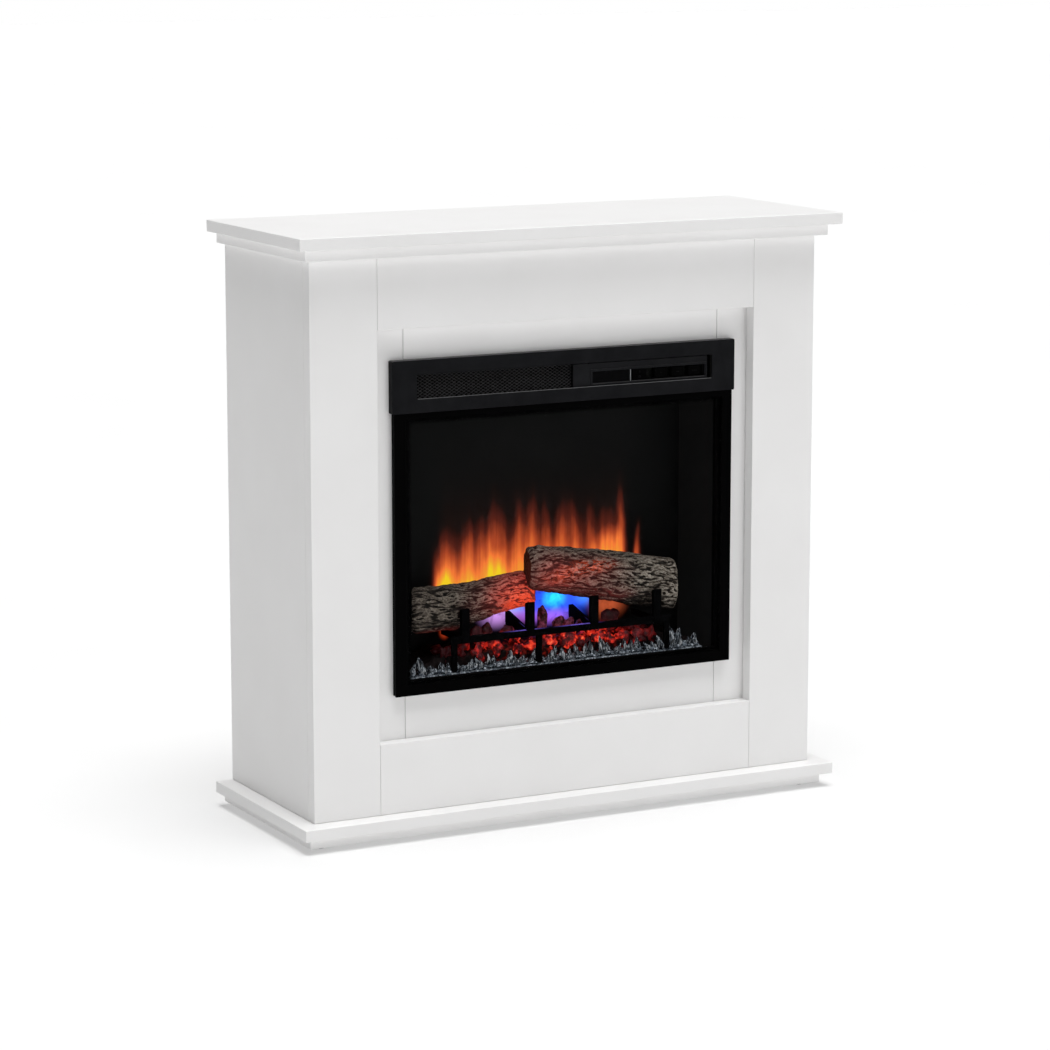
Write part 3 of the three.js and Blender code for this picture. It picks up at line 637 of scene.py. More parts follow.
def ember_resin():
    """Translucent moulded coals: bright red and orange rims low down, maroon on top with violet light
    painted where the screen's light falls.
    """
    g = Graph("ember_resin")
    smoke = g.noise(9, 4, 0.65)
    rims = g.ramp(g.cells(19, "DISTANCE_TO_EDGE", (1, 1, 0.8)), [(0.02, 1.0), (0.16, 0.2), (0.4, 0.0)])
    low = g.span(g.axes()[2], 293.0, 274.0, kind="SMOOTHSTEP")
    middle = g.near((5, -84, 262), (205, 120, 70))
    pattern = g.times_plus(rims, 0.6, g.ramp(smoke, [(0.40, 0.0), (0.66, 0.55)]))
    dark = g.ramp(g.noise(15, 3, 0.6), [(0.44, 0.05), (0.58, 1.0)])
    heat = g.times(g.times(g.times(low, middle), 1.9, clamp=True), g.times(pattern, dark))
    shine = g.ramp(heat, [
        (0.0, (0.003, 0.0, 0.0)),
        (0.18, (0.10, 0.003, 0.002)),
        (0.45, (0.52, 0.016, 0.008)),
        (0.78, (0.95, 0.06, 0.022)),
        (1.0, (1.0, 0.17, 0.06)),
    ])
    colour = g.ramp(smoke, [
        (0.3, (0.012, 0.002, 0.003)),
        (0.55, (0.060, 0.008, 0.011)),
        (0.8, (0.19, 0.040, 0.052)),
    ])
    # Painted light: violet on the upper coals, where the screen's blue and pink light falls.
    violet = g.times(g.near((-5, -60, 304), (120, 60, 34)), g.ramp(smoke, [(0.45, 0.0), (0.72, 1.0)]))
    shine = g.added(shine, g.tinted(violet, (0.34, 0.07, 0.15)))
    return g.surface(colour, 0.45, g.bump(g.noise(2.5, 5, 0.65), 0.6, 0.8), 0.2, shine)


def clear_chunk():
    """Smoky lumps of tumbled glass, with painted highlights on them as bright streaks and thin pale lines.
    """
    g = Graph("clear_chunk")
    streaks = g.noise(3.2, 3, 0.6, (1, 1, 0.2), 0.9)
    # Painted highlights: the streaks run up to white.
    shade = g.ramp(streaks, [
        (0.40, (0.006, 0.008, 0.010)),
        (0.53, (0.040, 0.050, 0.062)),
        (0.575, (0.30, 0.34, 0.38)),
        (0.64, 1.0),
    ])
    # Painted glints: thin pale lines.
    lines = g.ramp(g.noise(6, 2, 0.5, (1, 1, 0.35), 0.6), [(0.45, 0.0), (0.49, 0.9), (0.53, 0.0)])
    lines = g.times(lines, g.ramp(g.noise(9, 2), [(0.4, 0.1), (0.6, 1.0)]))
    shade = g.mix(lines, shade, (0.66, 0.72, 0.78))
    roughness = g.times_plus(g.noise(3, 4), 0.12, 0.06)
    normal = g.bump(g.noise(4.5, 3, 0.5), 0.6, 0.6)
    return g.surface(shade, roughness, normal, 0.2, transmission_weight=0.3, ior=1.45)


def dark_chippings():
    """Dark crushed glass and grit with grey glints."""
    g = Graph("dark_chippings")
    chips = g.voronoi(2.6)
    facet = g.node("SeparateColor", {0: chips["Color"]}).outputs[0]
    colour = g.ramp(facet, [
        (0.1, (0.036, 0.045, 0.055)),
        (0.6, (0.17, 0.20, 0.235)),
        (0.95, (0.70, 0.76, 0.82)),
    ])
    return g.surface(colour, g.times_plus(facet, 0.3, 0.2), g.bump(chips["Distance"], 0.8, 0.7), 0.15)


def studio_floor():
    g = Graph("studio_floor")
    tone = g.ramp(g.noise(600, 2), [(0.3, 0.59), (0.7, 0.61)])
    return g.surface(tone, 0.9, specular=0.0, emission_color=tone, emission_strength=0.5)


# ---- The white surround ----

WHITE_BOARDS = (
    "top_shelf", "cornice_slab", "left_side_panel", "right_side_panel", "left_pilaster", "right_pilaster",
    "upper_fascia", "lower_apron", "infill_left_stile", "infill_right_stile", "infill_top_rail",
    "infill_bottom_rail", "base_slab", "plinth_slab",
)
RAW_BOARDS = ("back_rail_top", "back_rail_bottom", "firebox_shelf")


def boards():
    """Every board again with softly rounded foil-wrapped edges in place of the CAD's single chamfer."""
    foil, raw = white_foil(), raw_board()
    for names, material, slot in ((WHITE_BOARDS, foil, "white_board"), (RAW_BOARDS, raw, "raw_board")):
        for name in names:
            mesh = rounded_boxes(name + "_skin", [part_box(name)], 1.1 * MM, 4)
            even_normals(new_piece(name + "_skin", mesh, material, [name]))


# ---- The face of the insert ----

DIAMOND_MM = (8.1, 5.1)
STRAND_MM = 1.0
# Left, right, bottom and top of openings, rims and the black ring of painted shade round the glass.
SLOT_MM = (-254.3, 254.3, 667.7, 704.2)
LENS_WINDOW_MM = (46, 110, 671.5, 689.5)
KEYS_WINDOW_MM = (114, 244, 671.5, 689.5)
RIM_OUTSIDE_MM = (41.5, 247, 668.6, 693.5)
RIM_INSIDE_MM = (44.5, 245.2, 670.8, 690.6)
SHADE_RING_OUTSIDE_MM = (-270, 270, 220.5, 714)
SHADE_RING_INSIDE_MM = (-265.7, 265.7, 224.5, 709)


def header(material):
    """The header: a face plate with the long slot, and the deeper rim behind its edge."""
    low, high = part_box("header_trim")
    wall = 2.5 * MM
    outer = rounded_outline(low.x, high.x, low.z, high.z, 2.5 * MM)
    slot = rounded_outline(*in_metres(*SLOT_MM), 1.5 * MM)
    face = plate_mesh("header_face", [outer, slot], low.y, low.y + wall, 0.9 * MM)
    inner = rounded_outline(low.x + wall, high.x - wall, low.z + wall, high.z - wall, 2.5 * MM)
    rim = plate_mesh("header_rim", [outer, inner], low.y + 0.8 * wall, high.y, 0.2 * MM)
    cover = joined("header_cover", [face, rim])
    even_normals(new_piece("header_cover", cover, material, ["header_trim"]))


def slot_lip(material):
    """The folded lip along the bottom of the header's slot, pale grey as a painted highlight along its edge.
    """
    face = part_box("header_trim")[0].y
    left, right, bottom, _ = in_metres(*SLOT_MM)
    end_gap = 1.5 * MM
    low = (left + end_gap, face - 0.25 * MM, bottom - 0.55 * MM)
    high = (right - end_gap, face + 1.5 * MM, bottom + 0.35 * MM)
    lip = rounded_boxes("slot_lip", [(low, high)], 0.3 * MM, 3)
    even_normals(new_piece("slot_lip", lip, material))


def expanded_mesh(material):
    """The warm-air grille: a flat sheet of diamonds, each strand a real bar."""
    low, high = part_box("heater_grille")
    width, height = high.x - low.x, high.z - low.z
    columns, rows = round(width / (DIAMOND_MM[0] * MM)), round(height / (DIAMOND_MM[1] * MM))
    pitch_x, pitch_z = width / columns, height / rows
    bm = bmesh.new()
    corners = {}

    def corner(i, j):
        if (i, j) not in corners:
            corners[i, j] = bm.verts.new((low.x + i * pitch_x / 2, 0, low.z + j * pitch_z / 2))
        return corners[i, j]

    for i in range(1, 2 * columns):
        for j in range(1, 2 * rows):
            if (i + j) % 2 == 0:
                around = ((i - 1, j), (i, j - 1), (i + 1, j), (i, j + 1))
                bm.faces.new([corner(*place) for place in around])
    mesh = mesh_from(bm, "grille_mesh", smooth=False)
    mesh.transform(Matrix.Translation((0, (low.y + high.y) / 2, 0)))
    piece = new_piece("grille_mesh", mesh, material, ["heater_grille"])
    strands = piece.modifiers.new("strands", "WIREFRAME")
    strands.thickness = STRAND_MM * MM
    strands.use_even_offset = False


def bezel(material, lens_highlight_material):
    """The control bezel: a tray that stops short of the slot's end, with a raised rim round its windows."""
    low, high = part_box("control_bezel")
    right = low.x + 236.5 * MM
    top = (SLOT_MM[3] - 1.7) * MM
    outer = rounded_outline(low.x, right, low.z, top, 1 * MM)
    windows = [rounded_outline(*in_metres(*window), 1 * MM) for window in (LENS_WINDOW_MM, KEYS_WINDOW_MM)]
    plate = plate_mesh("bezel_plate", [outer, *windows], low.y, high.y, 0.5 * MM)
    rim_outer = rounded_outline(*in_metres(*RIM_OUTSIDE_MM), 2 * MM)
    rim_inner = rounded_outline(*in_metres(*RIM_INSIDE_MM), 1.2 * MM)
    rim = plate_mesh("bezel_rim", [rim_outer, rim_inner], low.y - 1.1 * MM, low.y + 0.6 * MM, 0.45 * MM)
    wall_box = ((right - 1.5 * MM, high.y - 0.5 * MM, low.z), (right, high.y + 7 * MM, top))
    wall = rounded_boxes("bezel_wall", [wall_box], 0.4 * MM, 2)
    frame_mesh = joined("bezel_frame", [plate, rim, wall])
    even_normals(new_piece("bezel_frame", frame_mesh, material, ["control_bezel"]))
    # A thin pale strip between the windows: the painted highlight of the lens's cut edge.
    bottom, top = LENS_WINDOW_MM[2:]
    middle = (LENS_WINDOW_MM[1] + KEYS_WINDOW_MM[0]) / 2
    strip_box = ((middle - 0.4, -0.5, bottom + 0.1), (middle + 0.4, 0.2, top - 0.1))
    strip_low, strip_high = (Vector(in_metres(*corner)) + Vector((0, low.y, 0)) for corner in strip_box)
    strip = rounded_boxes("lens_edge_strip", [(strip_low, strip_high)], 0.12 * MM, 2)
    new_piece("lens_edge_strip", strip, lens_highlight_material)


KEYS = ("power_rocker", "button_flame", "button_heat", "button_timer")


def key_marks(name, low, high):
    """Plain raised marks: a bar and a ring on the rocker, one to three dots on the buttons."""
    face = low.y
    middle = (low + high) / 2
    bm = bmesh.new()
    if name == "power_rocker":
        on_face = Vector((middle.x, face, middle.z))
        bar_low, bar_high = (on_face + Vector(in_metres(*c)) for c in ((-0.4, 0.1, 2.2), (0.4, 1.6, 5.4)))
        add_rounded_box(bm, bar_low, bar_high, 0.15 * MM, 2)
        ring = [in_metres(*point) for point in ((1.9, 0), (1.9, 1.0), (1.2, 1.0), (1.2, 0.2))]
        add_lathe(bm, ring, on_face + Vector(in_metres(0, 1.5, -4)), (0, -1, 0), 20)
    else:
        count = KEYS.index(name)
        dome = [in_metres(*point) for point in ((0.8, 0), (0.75, 0.2), (0.4, 0.35))]
        for i in range(count):
            x = middle.x + (i - (count - 1) / 2) * 3 * MM
            add_lathe(bm, dome, (x, face + 0.15 * MM, middle.z), (0, -1, 0), 14)
    return mesh_from(bm, name + "_marks")


def keys(material, mark_material):
    for name in KEYS:
        low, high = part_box(name)
        body = name + "_body"
        if name == "power_rocker":
            dress(frame["nodes"][name].data, material)
        else:
            cap = rounded_boxes(name + "_cap", [(low, high)], 1.6 * MM, 4)
            even_normals(new_piece(name + "_cap", cap, material, [name], body))
        new_piece(name + "_marks", key_marks(name, low, high), mark_material, (), body)


# ---- The log fire ----

LOG_SIDES = 250
BARK_DEPTH_MM = 2.8


def bark_relief(along_mm, round_mm, seed):
    """Relief of bark: 1 on its plates, down to 0 in short cracks and the few long furrows."""
    across = round_mm + 4 * noise.noise(Vector((along_mm / 26, round_mm / 26, seed)))
    cracks = noise.noise(Vector((along_mm / 9.5, across / 2.6, seed + 1)))
    cracks += 0.4 * noise.noise(Vector((along_mm / 4.0, across / 1.5, seed + 4)))
    crack = max(0.0, min(1.0, (-0.10 - cracks) / 0.26))
    furrow = min(1.0, 0.2 + 8 * abs(noise.noise(Vector((along_mm / 50, across / 11, seed + 5)))))
    swell = 0.12 * noise.noise(Vector((along_mm / 12, across / 6, seed + 7)))
    return max(0.0, min(1.0, (0.95 - 0.85 * crack * crack * (3 - 2 * crack)) * furrow + swell))


def smooth_station(stations, t):
    """A point between stations, by Catmull-Rom, as (x, y, z, radius)."""
    last = len(stations) - 1
    i = min(int(t * last), last - 1)
    u = t * last - i
    p0, p1, p2, p3 = (stations[max(0, min(last, i + k))] for k in (-1, 0, 1, 2))
    point = []
    for a, b, c, d in zip(p0, p1, p2, p3):
        rise = (c - a) * u + (2 * a - 5 * b + 4 * c - d) * u * u + (3 * b - a - 3 * c + d) * u ** 3
        point.append(b + 0.5 * rise)
    return point


def log_ring(stations, along, seed, skews, chips):
    """One ring of a log's bark: its points and how high the relief stands at each, for along from 0 to 1."""
    x, y, z, radius = smooth_station(stations, along)
    from_end = min(x - stations[0][0], stations[-1][0] - x)
    taper = 1 - 0.13 * max(0.0, 1 - from_end / 8) ** 2
    skew = skews[0] * max(0.0, 1 - 6 * along) + skews[1] * max(0.0, 6 * along - 5)
    points, reliefs = [], []
    for side in range(LOG_SIDES):
        angle = 2 * math.pi * side / LOG_SIDES
        around = Vector((x / 40, 2.2 * math.cos(angle), 2.2 * math.sin(angle) + seed))
        swell = 1 + 0.08 * noise.noise(around) + 0.05 * noise.noise(around * 2.7)
        relief = bark_relief(x, radius * angle, seed)
        seam = min(side, LOG_SIDES - side) / (0.04 * LOG_SIDES)
        if seam < 1:
            relief = seam * relief + (1 - seam) * 0.5
        reach = (radius * swell - BARK_DEPTH_MM * (1 - relief)) * MM
        slide = skew * reach * math.cos(angle)
        reach *= taper
        if chips is not None:
            slide += 1.6 * MM * noise.noise(Vector((angle * 3, chips / 9, seed)))
        outward = (slide, reach * math.cos(angle), reach * math.sin(angle))
        points.append([MM * middle + offset for middle, offset in zip((x, y, z), outward)])
        reliefs.append(relief)
    return points, reliefs


def log_end(centre, rim, step, cap_rings=7):
    """Rings of points that close a log's end, each smaller than the one before, dished and roughened."""
    rings = []
    for k in range(1, cap_rings + 1):
        shrink = 1 - k / (cap_rings + 0.35)
        ring = []
        for edge in rim:
            point = centre + (Vector(edge) - centre) * shrink
            point.x += step * (1.5 * (1 - shrink) + 1.3 * noise.noise(point * 260)) * MM
            ring.append(point)
        rings.append(ring)
    return rings


def log_mesh(name, stations, seed, rings, skews):
    """A log from stations (x, y, z, radius) in mm, with its bark modelled in the mesh and its ends closed.

    Its two ends are cut askew: skews say how far each cut runs to the right for each millimetre to the back.
    """
    vertices, reliefs, faces = [], [], []

    def add_ring(points, values):
        start = len(vertices)
        vertices.extend(points)
        reliefs.extend(values)
        return range(start, start + LOG_SIDES)

    loops = []
    for ring in range(rings):
        chips = ring if ring in (0, rings - 1) else None
        loops.append(add_ring(*log_ring(stations, ring / (rings - 1), seed, skews, chips)))
    for lower, upper in zip(loops, loops[1:]):
        faces += band(lower, upper)
    for end, step in ((0, 1), (rings - 1, -1)):
        x, y, z, _ = smooth_station(stations, end / (rings - 1))
        outer = loops[end]
        rim = [vertices[index] for index in outer]
        for k, points in enumerate(log_end(Vector(in_metres(x, y, z)), rim, step), 1):
            inner = add_ring(points, [0.22 + 0.25 * (k % 2)] * LOG_SIDES)
            faces += band(outer, inner)
            outer = inner
        faces.append(tuple(outer))
    mesh = bpy.data.meshes.new(name)
    mesh.from_pydata(vertices, [], faces)
    mesh.attributes.new("relief", "FLOAT", "POINT").data.foreach_set("value", reliefs)
    return joined(name, [mesh])


LEFT_LOG_MM = (
    (-232, -61, 331, 35.5),
    (-190, -60, 331, 34.5),
    (-155, -59, 332, 33.5),
    (-124, -58, 336, 31.5),
    (-90, -57, 342, 29.5),
    (-60, -54, 346, 28.5),
    (-38, -51, 347, 27.5),
    (-13, -48, 342, 25),
)
RIGHT_LOG_MM = (
    (-43, -80, 385, 32),
    (-16, -79, 381.5, 35),
    (19, -77, 374.5, 37),
    (54, -74, 368.5, 38),
    (90, -71, 361, 39),
    (126, -67, 353.5, 40),
    (162, -63, 346, 40.5),
    (196, -60, 339, 41),
    (229, -59, 335, 41),
)


def logs():
    left_glows = (
        ((-14, -66, 334), (34, 60, 46), 1.5),
        ((-48, -88, 326), (54, 60, 30), 0.7),
        ((-54, -84, 346), (84, 80, 64), 1.05),
        ((-110, -90, 340), (70, 80, 44), 0.3),
        ((-190, -60, 296), (60, 60, 16), 0.3),
    )
    right_glows = (
        ((-18, -110, 380), (60, 90, 56), 0.42),
        ((44, -105, 342), (70, 70, 24), 0.14),
        ((34, -112, 372), (120, 80, 48), 0.42),
        ((100, -105, 334), (54, 60, 24), 0.26),
    )
    right_seams = (
        ((48, -108, 383), (74, 50, 16), 1.0),
        ((2, -110, 372), (50, 50, 14), 0.6),
    )
    for name, stations, seed, rings, skews, glows, seams in (
        ("log_left", LEFT_LOG_MM, 3.1, 220, (0.42, 0.5), left_glows, ()),
        ("log_right", RIGHT_LOG_MM, 17.4, 280, (0.24, 0.3), right_glows, right_seams),
    ):
        piece_name = name + "_bark"
        mesh = log_mesh(piece_name, stations, seed, rings, skews)
        new_piece(piece_name, mesh, bark(piece_name, glows, seams), [name])


def add_lump(bm, centre, size, seed, detail=3, jag=0.35, turn=0.0):
    """One broken lump: a ball pushed about by noise and flattened into facets."""
    made = bmesh.ops.create_icosphere(bm, subdivisions=detail, radius=1.0)
    spin = Matrix.Rotation(turn, 3, "Z") @ Matrix.Rotation(0.7 * turn, 3, "X")
    for vertex in made["verts"]:
        direction = vertex.co.copy()
        bulge = noise.noise(direction * 1.3 + Vector((seed, 0, 0)))
        chips = noise.voronoi(direction * 1.6 + Vector((0, seed, 0)))[0][0]
        reach = 1 + jag * bulge - 0.35 * jag * chips
        vertex.co = Vector(centre) + (spin @ (direction * reach)) * Vector(size)


COALS_ABOVE_MM = (
    ((-127, -76, 287), (14, 9, 15)),
    ((-110, -72, 290), (10, 8, 14)),
    ((-70, -64, 285), (13, 9, 12)),
    ((-48, -66, 284), (9, 8, 8)),
    ((-17, -78, 297), (9, 8, 28)),
    ((20, -68, 288), (14, 9, 13)),
    ((38, -66, 286), (12, 8, 10)),
    ((58, -68, 285), (10, 8, 8)),
    ((106, -72, 286), (21, 9, 17)),
    ((146, -74, 274), (13, 8, 9)),
)


COALS_BELOW_MM = (
    (-186, 9), (-158, 8), (-134, 13), (-98, 8), (-62, 9), (-38, 14), (-8, 13), (26, 14), (52, 10), (76, 13),
    (97, 10), (122, 12), (150, 14), (172, 10),
)


def ember_mat(low, high):
    """A sheet of low mounds with a skirt down to the bed's underside."""
    bm = bmesh.new()
    columns, rows = 170, 26
    lowest, mound, slope = 243 * MM, 16 * MM, 0.1
    lines = []
    for j in range(rows + 1):
        line = []
        for i in range(columns + 1):
            x = low.x + (high.x - low.x) * i / columns
            y = low.y + (high.y - low.y) * j / rows
            rough = noise.fractal(Vector((x * 90, y * 90, 0)), 0.7, 2.1, 4)
            edge = min(1.0, (high.x - abs(x)) / (60 * MM))
            z = lowest + mound * edge + 6 * MM * rough + slope * (y - low.y)
            line.append(bm.verts.new((x, y, z)))
        lines.append(line)
    for near, far in zip(lines, lines[1:]):
        for i in range(columns):
            bm.faces.new((near[i], near[i + 1], far[i + 1], far[i]))
    rim = [edge for edge in bm.edges if edge.is_boundary]
    skirt = bmesh.ops.extrude_edge_only(bm, edges=rim)["geom"]
    for vertex in (v for v in skirt if isinstance(v, bmesh.types.BMVert)):
        vertex.co.z = low.z
    return mesh_from(bm, "ember_mat")


def ember_bed(mat_material, coal_material):
    """The moulded ember bed: a dark mat, a front row of glowing coals and broken coals above the bar."""
    rng = random.Random(11)
    new_piece("ember_mat", ember_mat(*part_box("ember_bed")), mat_material, ["ember_bed"])
    bm = bmesh.new()
    for i, (centre, size) in enumerate(COALS_ABOVE_MM):
        add_lump(bm, in_metres(*centre), in_metres(*size), 3.7 * i, 3, 0.55, i)
    for i, (x, half_width) in enumerate(COALS_BELOW_MM):
        centre = in_metres(x, rng.uniform(-86, -80), 262 + rng.uniform(-4, 3))
        size = in_metres(half_width, rng.uniform(5, 7), rng.uniform(11, 15))
        add_lump(bm, centre, size, 20 + i, 3, 0.8, rng.uniform(-0.5, 0.5))
    for i in range(30):
        x = rng.uniform(-195, 190)
        centre = in_metres(x, rng.uniform(-70, -36), 261 + rng.uniform(-2, 6))
        size = rng.uniform(6, 10)
        add_lump(bm, centre, in_metres(1.4 * size, 0.9 * size, size), 50 + i, 2, 0.5, rng.uniform(0, 6))
    new_piece("ember_coals", mesh_from(bm, "ember_coals"), coal_material)


def add_shard(bm, foot, height, width, rng):
    """One standing chunk of tumbled glass: a bent, pinched blob with a blunt tip."""
    rings, sides = 9, 10
    lean = Vector((rng.uniform(-0.4, 0.4), rng.uniform(-0.15, 0.15), 0))
    phase = rng.uniform(0, 6.28)
    pinch = rng.uniform(0.25, 0.6)
    flat = rng.uniform(0.5, 0.8)
    wobble = rng.uniform(0, 50)
    loops = []
    for ring in range(rings + 1):
        t = ring / rings
        taper = math.sin(math.pi * (0.12 + 0.86 * t)) ** 0.6 * (1 - (1 - pinch) * t)
        bend = Vector((math.sin(t * 2.4 + phase) * 0.18, 0, 0))
        centre = Vector(foot) + (lean * t + bend) * width + Vector((0, 0, height * t))
        loop = []
        for side in range(sides):
            angle = 2 * math.pi * side / sides + 0.9 * t
            around = Vector((math.cos(angle) * 1.1, math.sin(angle) * 1.1, wobble + 3 * t))
            reach = 0.5 * width * taper * (1 + 0.35 * noise.noise(around))
            outward = Vector((reach * math.cos(angle), flat * reach * math.sin(angle), 0))
            loop.append(bm.verts.new(centre + outward))
        loops.append(loop)
    bm.faces.new(loops[0])
    for lower, upper in zip(loops, loops[1:]):
        for face in band(lower, upper):
            bm.faces.new(face)
    bm.faces.new(loops[-1])


def glass_bed(chunk_material, chip_material):
    """Standing glass chunks along the front, over a strip of dark chippings."""
    low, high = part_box("crushed_glass_bed")
    top = 238 * MM
    chippings, tall_chunks, small_chunks = 620, 36, 40
    rng = random.Random(5)
    bm = bmesh.new()
    add_rounded_box(bm, (low.x, low.y + 0.5 * MM, low.z), (high.x, high.y, top), 1 * MM, 2)
    for i in range(chippings):
        x = rng.uniform(low.x + 4 * MM, high.x - 4 * MM)
        y = rng.uniform(low.y + 3 * MM, high.y - 2 * MM)
        size = rng.uniform(1.4, 3.4)
        z = top + 0.5 * MM + 0.3 * (y - low.y) + rng.uniform(0, 3 * MM)
        add_lump(bm, (x, y, z), in_metres(size * 1.3, size, size * 0.8), i, 1, 0.6, rng.uniform(0, 6))
    mesh = mesh_from(bm, "dark_chippings", smooth=False)
    new_piece("dark_chippings", mesh, chip_material, ["crushed_glass_bed"])

    bm = bmesh.new()
    end_gap, edge_gap = 12 * MM, 6 * MM
    run = high.x - low.x - 2 * end_gap
    for i in range(tall_chunks):
        x = low.x + end_gap + run * (i + rng.uniform(-0.3, 0.3)) / (tall_chunks - 1)
        tall = 0.5 + 0.5 * noise.noise(Vector((x * 22, 0.3, 4)))
        height = (14 + 22 * max(0.0, tall)) * rng.uniform(0.6, 1.15) * MM
        width = rng.uniform(11, 20) * MM
        y = rng.uniform(low.y + edge_gap, high.y - edge_gap)
        add_shard(bm, (x, y, top - 0.5 * MM), height, width, rng)
    for i in range(small_chunks):
        x = rng.uniform(low.x + 6 * MM, high.x - 6 * MM)
        y = rng.uniform(low.y + 4 * MM, high.y - 4 * MM)
        add_shard(bm, (x, y, top), rng.uniform(5, 12) * MM, rng.uniform(4, 8) * MM, rng)
    new_piece("glass_chunks", mesh_from(bm, "glass_chunks"), chunk_material)


def add_gusset(bm, x, half_width, y_range, foot, top):
    """A triangular web on a runner, rising towards the back."""
    front, back = y_range
    sides = []
    for side in (-half_width, half_width):
        corners = ((front, foot), (back, foot), (back, top))
        sides.append([bm.verts.new(in_metres(x + side, y, z)) for y, z in corners])
    for face in (*sides, *band(*sides)):
        bm.faces.new(face)


def grate(material):
    """The grate again with eased casting edges and slanted post tops."""
    foot, rail_foot, runner_top, post_top = 240, 283, 291.5, 337
    runner_back = -28
    posts = [5 + step * 112 for step in (-1.5, -0.5, 0.5, 1.5)]
    legs = (-181, -35, 191)
    boxes = [((-187, -106, rail_foot - 0.5), (197, -100, 293.5))]
    boxes += [((x - 7, -107.5, rail_foot), (x + 7, -99.5, post_top)) for x in posts]
    boxes += [((x - 4, -105, rail_foot), (x + 4, runner_back, runner_top)) for x in posts]
    boxes += [((x - 5, -105.5, foot), (x + 5, -100.5, rail_foot + 1)) for x in legs]
    bm = bmesh.new()
    for low, high in boxes:
        add_rounded_box(bm, in_metres(*low), in_metres(*high), 1.2 * MM, 3)
    for x in posts[1:3]:
        add_gusset(bm, x, 4, (-99.5, runner_back), runner_top - 0.5, 309)
    slanted_from, slope, level_at = (post_top - 4) * MM, 0.35, -106.5 * MM
    for vertex in bm.verts:
        if vertex.co.z > slanted_from:
            vertex.co.z -= slope * (vertex.co.y - level_at)
    casting = mesh_from(bm, "grate_casting")
    even_normals(new_piece("grate_casting", casting, material, ["log_grate"]))


# ---- Fixings ----

def add_screw(bm, head, axis, radius=3.6 * MM):
    """A pan-head screw's head with a round recess, standing on the surface at head."""
    dome = ((1, 0), (1, 0.3), (0.85, 0.52), (0.45, 0.62), (0.42, 0.35))
    add_lathe(bm, [(radius * across, radius * height) for across, height in dome], head, axis, 20)


def screws(material):
    """Screws round the insert's back sheet and through its two brackets."""
    inset = 12 * MM
    low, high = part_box("firebox_back_panel")
    left, right, bottom, top = low.x + 10 * MM, high.x - 10 * MM, low.z + inset, high.z - inset
    places = [(x, z) for z in (bottom, low.z + 0.165, low.z + 0.325, top) for x in (left, right)]
    places += [(x, z) for x in (-0.13, 0.13) for z in (bottom, top)]
    bm = bmesh.new()
    for x, z in places:
        add_screw(bm, (x, high.y, z), (0, 1, 0))
    for side in ("left", "right"):
        low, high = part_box("insert_bracket_" + side)
        x = high.x - inset if side == "right" else low.x + inset
        for z in (low.z + 14 * MM, high.z - 14 * MM):
            add_screw(bm, (x, low.y + 1.5 * MM, z), (0, 1, 0), 3.2 * MM)
    new_piece("case_screws", mesh_from(bm, "case_screws"), material)


# ---- Everything carried over from the CAD ----

def dress_cad_nodes(zinc, plastic):
    """Gives each CAD node that stays visible its finished material."""
    for material, names in (
        # Of these, heater_housing is black as painted shade behind the grille.
        (powder_coat("firebox_black", (0.0012, 0.0012, 0.0013), 0.7),
         ("firebox_base_pan", "firebox_top_panel", "heater_deck", "heater_housing")),
        (side_black(), ("firebox_left_side", "firebox_right_side")),
        (powder_coat("frame_black", (0.0006, 0.0006, 0.0007), 0.7), ("glass_frame",)),
        (zinc, ("firebox_back_panel", "insert_bracket_left", "insert_bracket_right", "wall_bracket_left",
                "wall_bracket_right", "flicker_motor", "thermal_cutout", "flicker_rod")),
        (plastic, ("cord_gland", "glide_front_left", "glide_front_right", "glide_back_left",
                   "glide_back_right", "heater_rotor", "fan_motor")),
        (gloss_lens(), ("display_lens",)),
        (flame_screen(), ("flame_screen",)),
        (circuit_black(), ("control_pcb", "ember_led_board", "flame_led_board")),
        # Painted shade: the fins and the rotor bearing behind the grille.
        (fins_painted_shade(), ("heating_element", "rotor_bearing")),
        (moulded_plastic("white_nylon", (0.68, 0.68, 0.64), 0.55), ("flicker_bush",)),
    ):
        for name in names:
            dress(frame["nodes"][name].data, material)


def shade_ring(material):
    """A thin black ring in the gap between the glass frame and the steel case, put there as painted shade.
    """
    shell_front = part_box("firebox_right_side")[0].y
    outer, inner = (rounded_outline(*in_metres(*edge), 2 * MM) for edge in (SHADE_RING_OUTSIDE_MM, SHADE_RING_INSIDE_MM))
    shade_ring_mesh = plate_mesh("shade_ring", [outer, inner], shell_front - 1 * MM, shell_front + 1 * MM, 0.5 * MM)
    new_piece("shade_ring", shade_ring_mesh, material)


def front_glass():
    low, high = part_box("front_glass")
    mesh = rounded_boxes("glass_pane", [(low, high)], 0.5 * MM, 2)
    even_normals(new_piece("glass_pane", mesh, edge_printed_glass(), ["front_glass"]))


# ---- Studio ----

def camera():
    data = bpy.data.cameras.new("camera")
    data.sensor_width = 36.0
    data.lens = 123.517
    data.clip_start = 0.1
    data.clip_end = 100.0
    holder = placed("camera", data)
    holder.location = (-2.5741, -4.9116, 1.4275)
    down, aside = 10.1373, 27.6096
    holder.rotation_euler = (math.radians(90 - down), 0.0, math.radians(-aside))
    bpy.context.scene.camera = holder


def floor():
    bm = bmesh.new()
    bmesh.ops.create_grid(bm, x_segments=2, y_segments=2, size=30.0)
    mesh = mesh_from(bm, "floor")
    dress(mesh, studio_floor())
    placed("floor", mesh)


def soft_sun(name, towards, strength, spread_degrees):
    """Even light over the whole studio from the direction given, as from a very large, far softbox."""
    data = bpy.data.lights.new(name, "SUN")
    data.energy = strength
    data.angle = math.radians(spread_degrees)
    placed(name, data).rotation_euler = Vector(towards).to_track_quat("Z", "Y").to_euler()


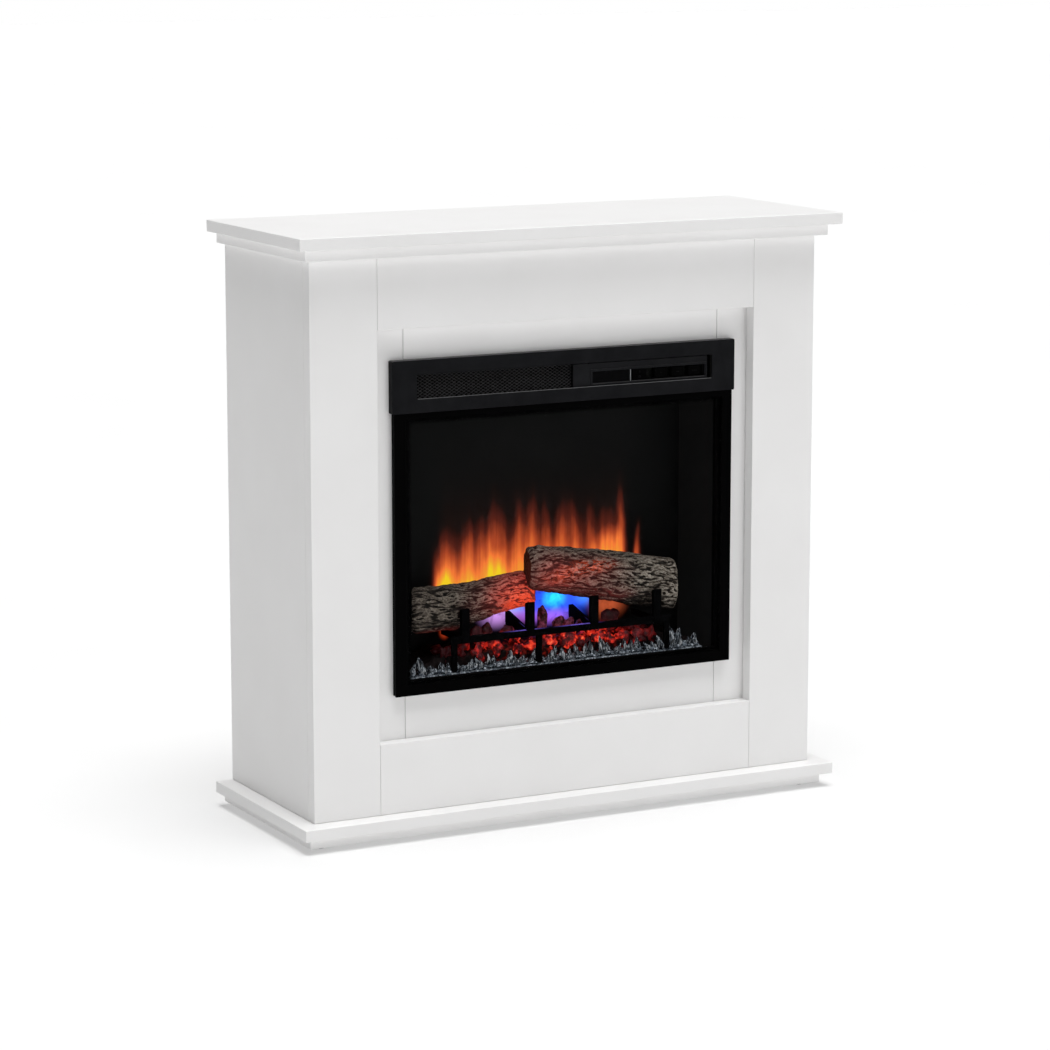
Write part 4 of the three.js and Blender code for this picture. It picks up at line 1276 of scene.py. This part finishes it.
def soft_box(name, place, size, power):
    """A square softbox aimed at the middle of the object."""
    data = bpy.data.lights.new(name, "AREA")
    data.shape = "SQUARE"
    data.size = size
    data.energy = power
    holder = placed(name, data)
    holder.location = place
    middle_height = 0.45
    aim = Vector((0, 0, middle_height)) - Vector(place)
    holder.rotation_euler = aim.to_track_quat("-Z", "Y").to_euler()


def lights():
    soft_sun("overhead", (0.02, -0.12, 1.0), 3.6, 48)
    soft_sun("from_front", (0.25, -1.0, 0.1), 0.52, 30)
    soft_sun("from_left", (-1.0, -0.6, 0.3), 0.10, 50)
    soft_box("from_right", (2.2, -2.4, 1.3), 1.2, 3)


def world():
    """White to the camera, softer as ambient light, and dim in reflections so that black stays black."""
    g = Graph(owner=bpy.data.worlds.new("studio"))
    bpy.context.scene.world = g.owner
    white = (1, 1, 1)
    path = g.node("LightPath").outputs
    light = g.node("Background", {"Color": white, "Strength": 0.03}).outputs[0]
    for ray, strength in (("Is Glossy Ray", 0.3), ("Is Camera Ray", 1.0)):
        shade = g.node("Background", {"Color": white, "Strength": strength}).outputs[0]
        light = g.node("MixShader", {0: path[ray], 1: light, 2: shade}).outputs[0]
    g.node("OutputWorld", {"Surface": light})
    bpy.context.scene.view_settings.view_transform = "Standard"


# ---- Assembly ----

def build():
    plastic = moulded_plastic("black_plastic", (0.0055, 0.0055, 0.0062))
    key_plastic = moulded_plastic("key_plastic", (0.0005, 0.0005, 0.0006), 0.5, 0.008)
    zinc = zinc_sheet()
    camera()
    lights()
    world()
    floor()
    boards()
    # The last number given to powder_coat is the tone of its painted highlight on faces that look up.
    header(powder_coat("header_black", (0.0037, 0.0039, 0.0049), 0.42, 0.075))
    # The lip's pale grey is a painted highlight.
    slot_lip(powder_coat("lip_painted_highlight", (0.07, 0.071, 0.073), 0.35, 0.2))
    expanded_mesh(powder_coat("mesh_black", (0.042, 0.042, 0.044), 0.5, 0.08))
    bezel(powder_coat("bezel_black", (0.0068, 0.007, 0.0082), 0.45, 0.06), lens_edge_painted_highlight())
    keys(key_plastic, moulded_plastic("key_marks", (0.010, 0.010, 0.011)))
    front_glass()
    # The black ring stands for the shade in the gap round the glass.
    shade_ring(moulded_plastic("shade_ring_black", (0.0006, 0.0006, 0.0007), 0.8, 0.01))
    logs()
    ember_bed(coal_mat(), ember_resin())
    glass_bed(clear_chunk(), dark_chippings())
    grate(grate_iron())
    screws(zinc)
    dress_cad_nodes(zinc, plastic)


build()
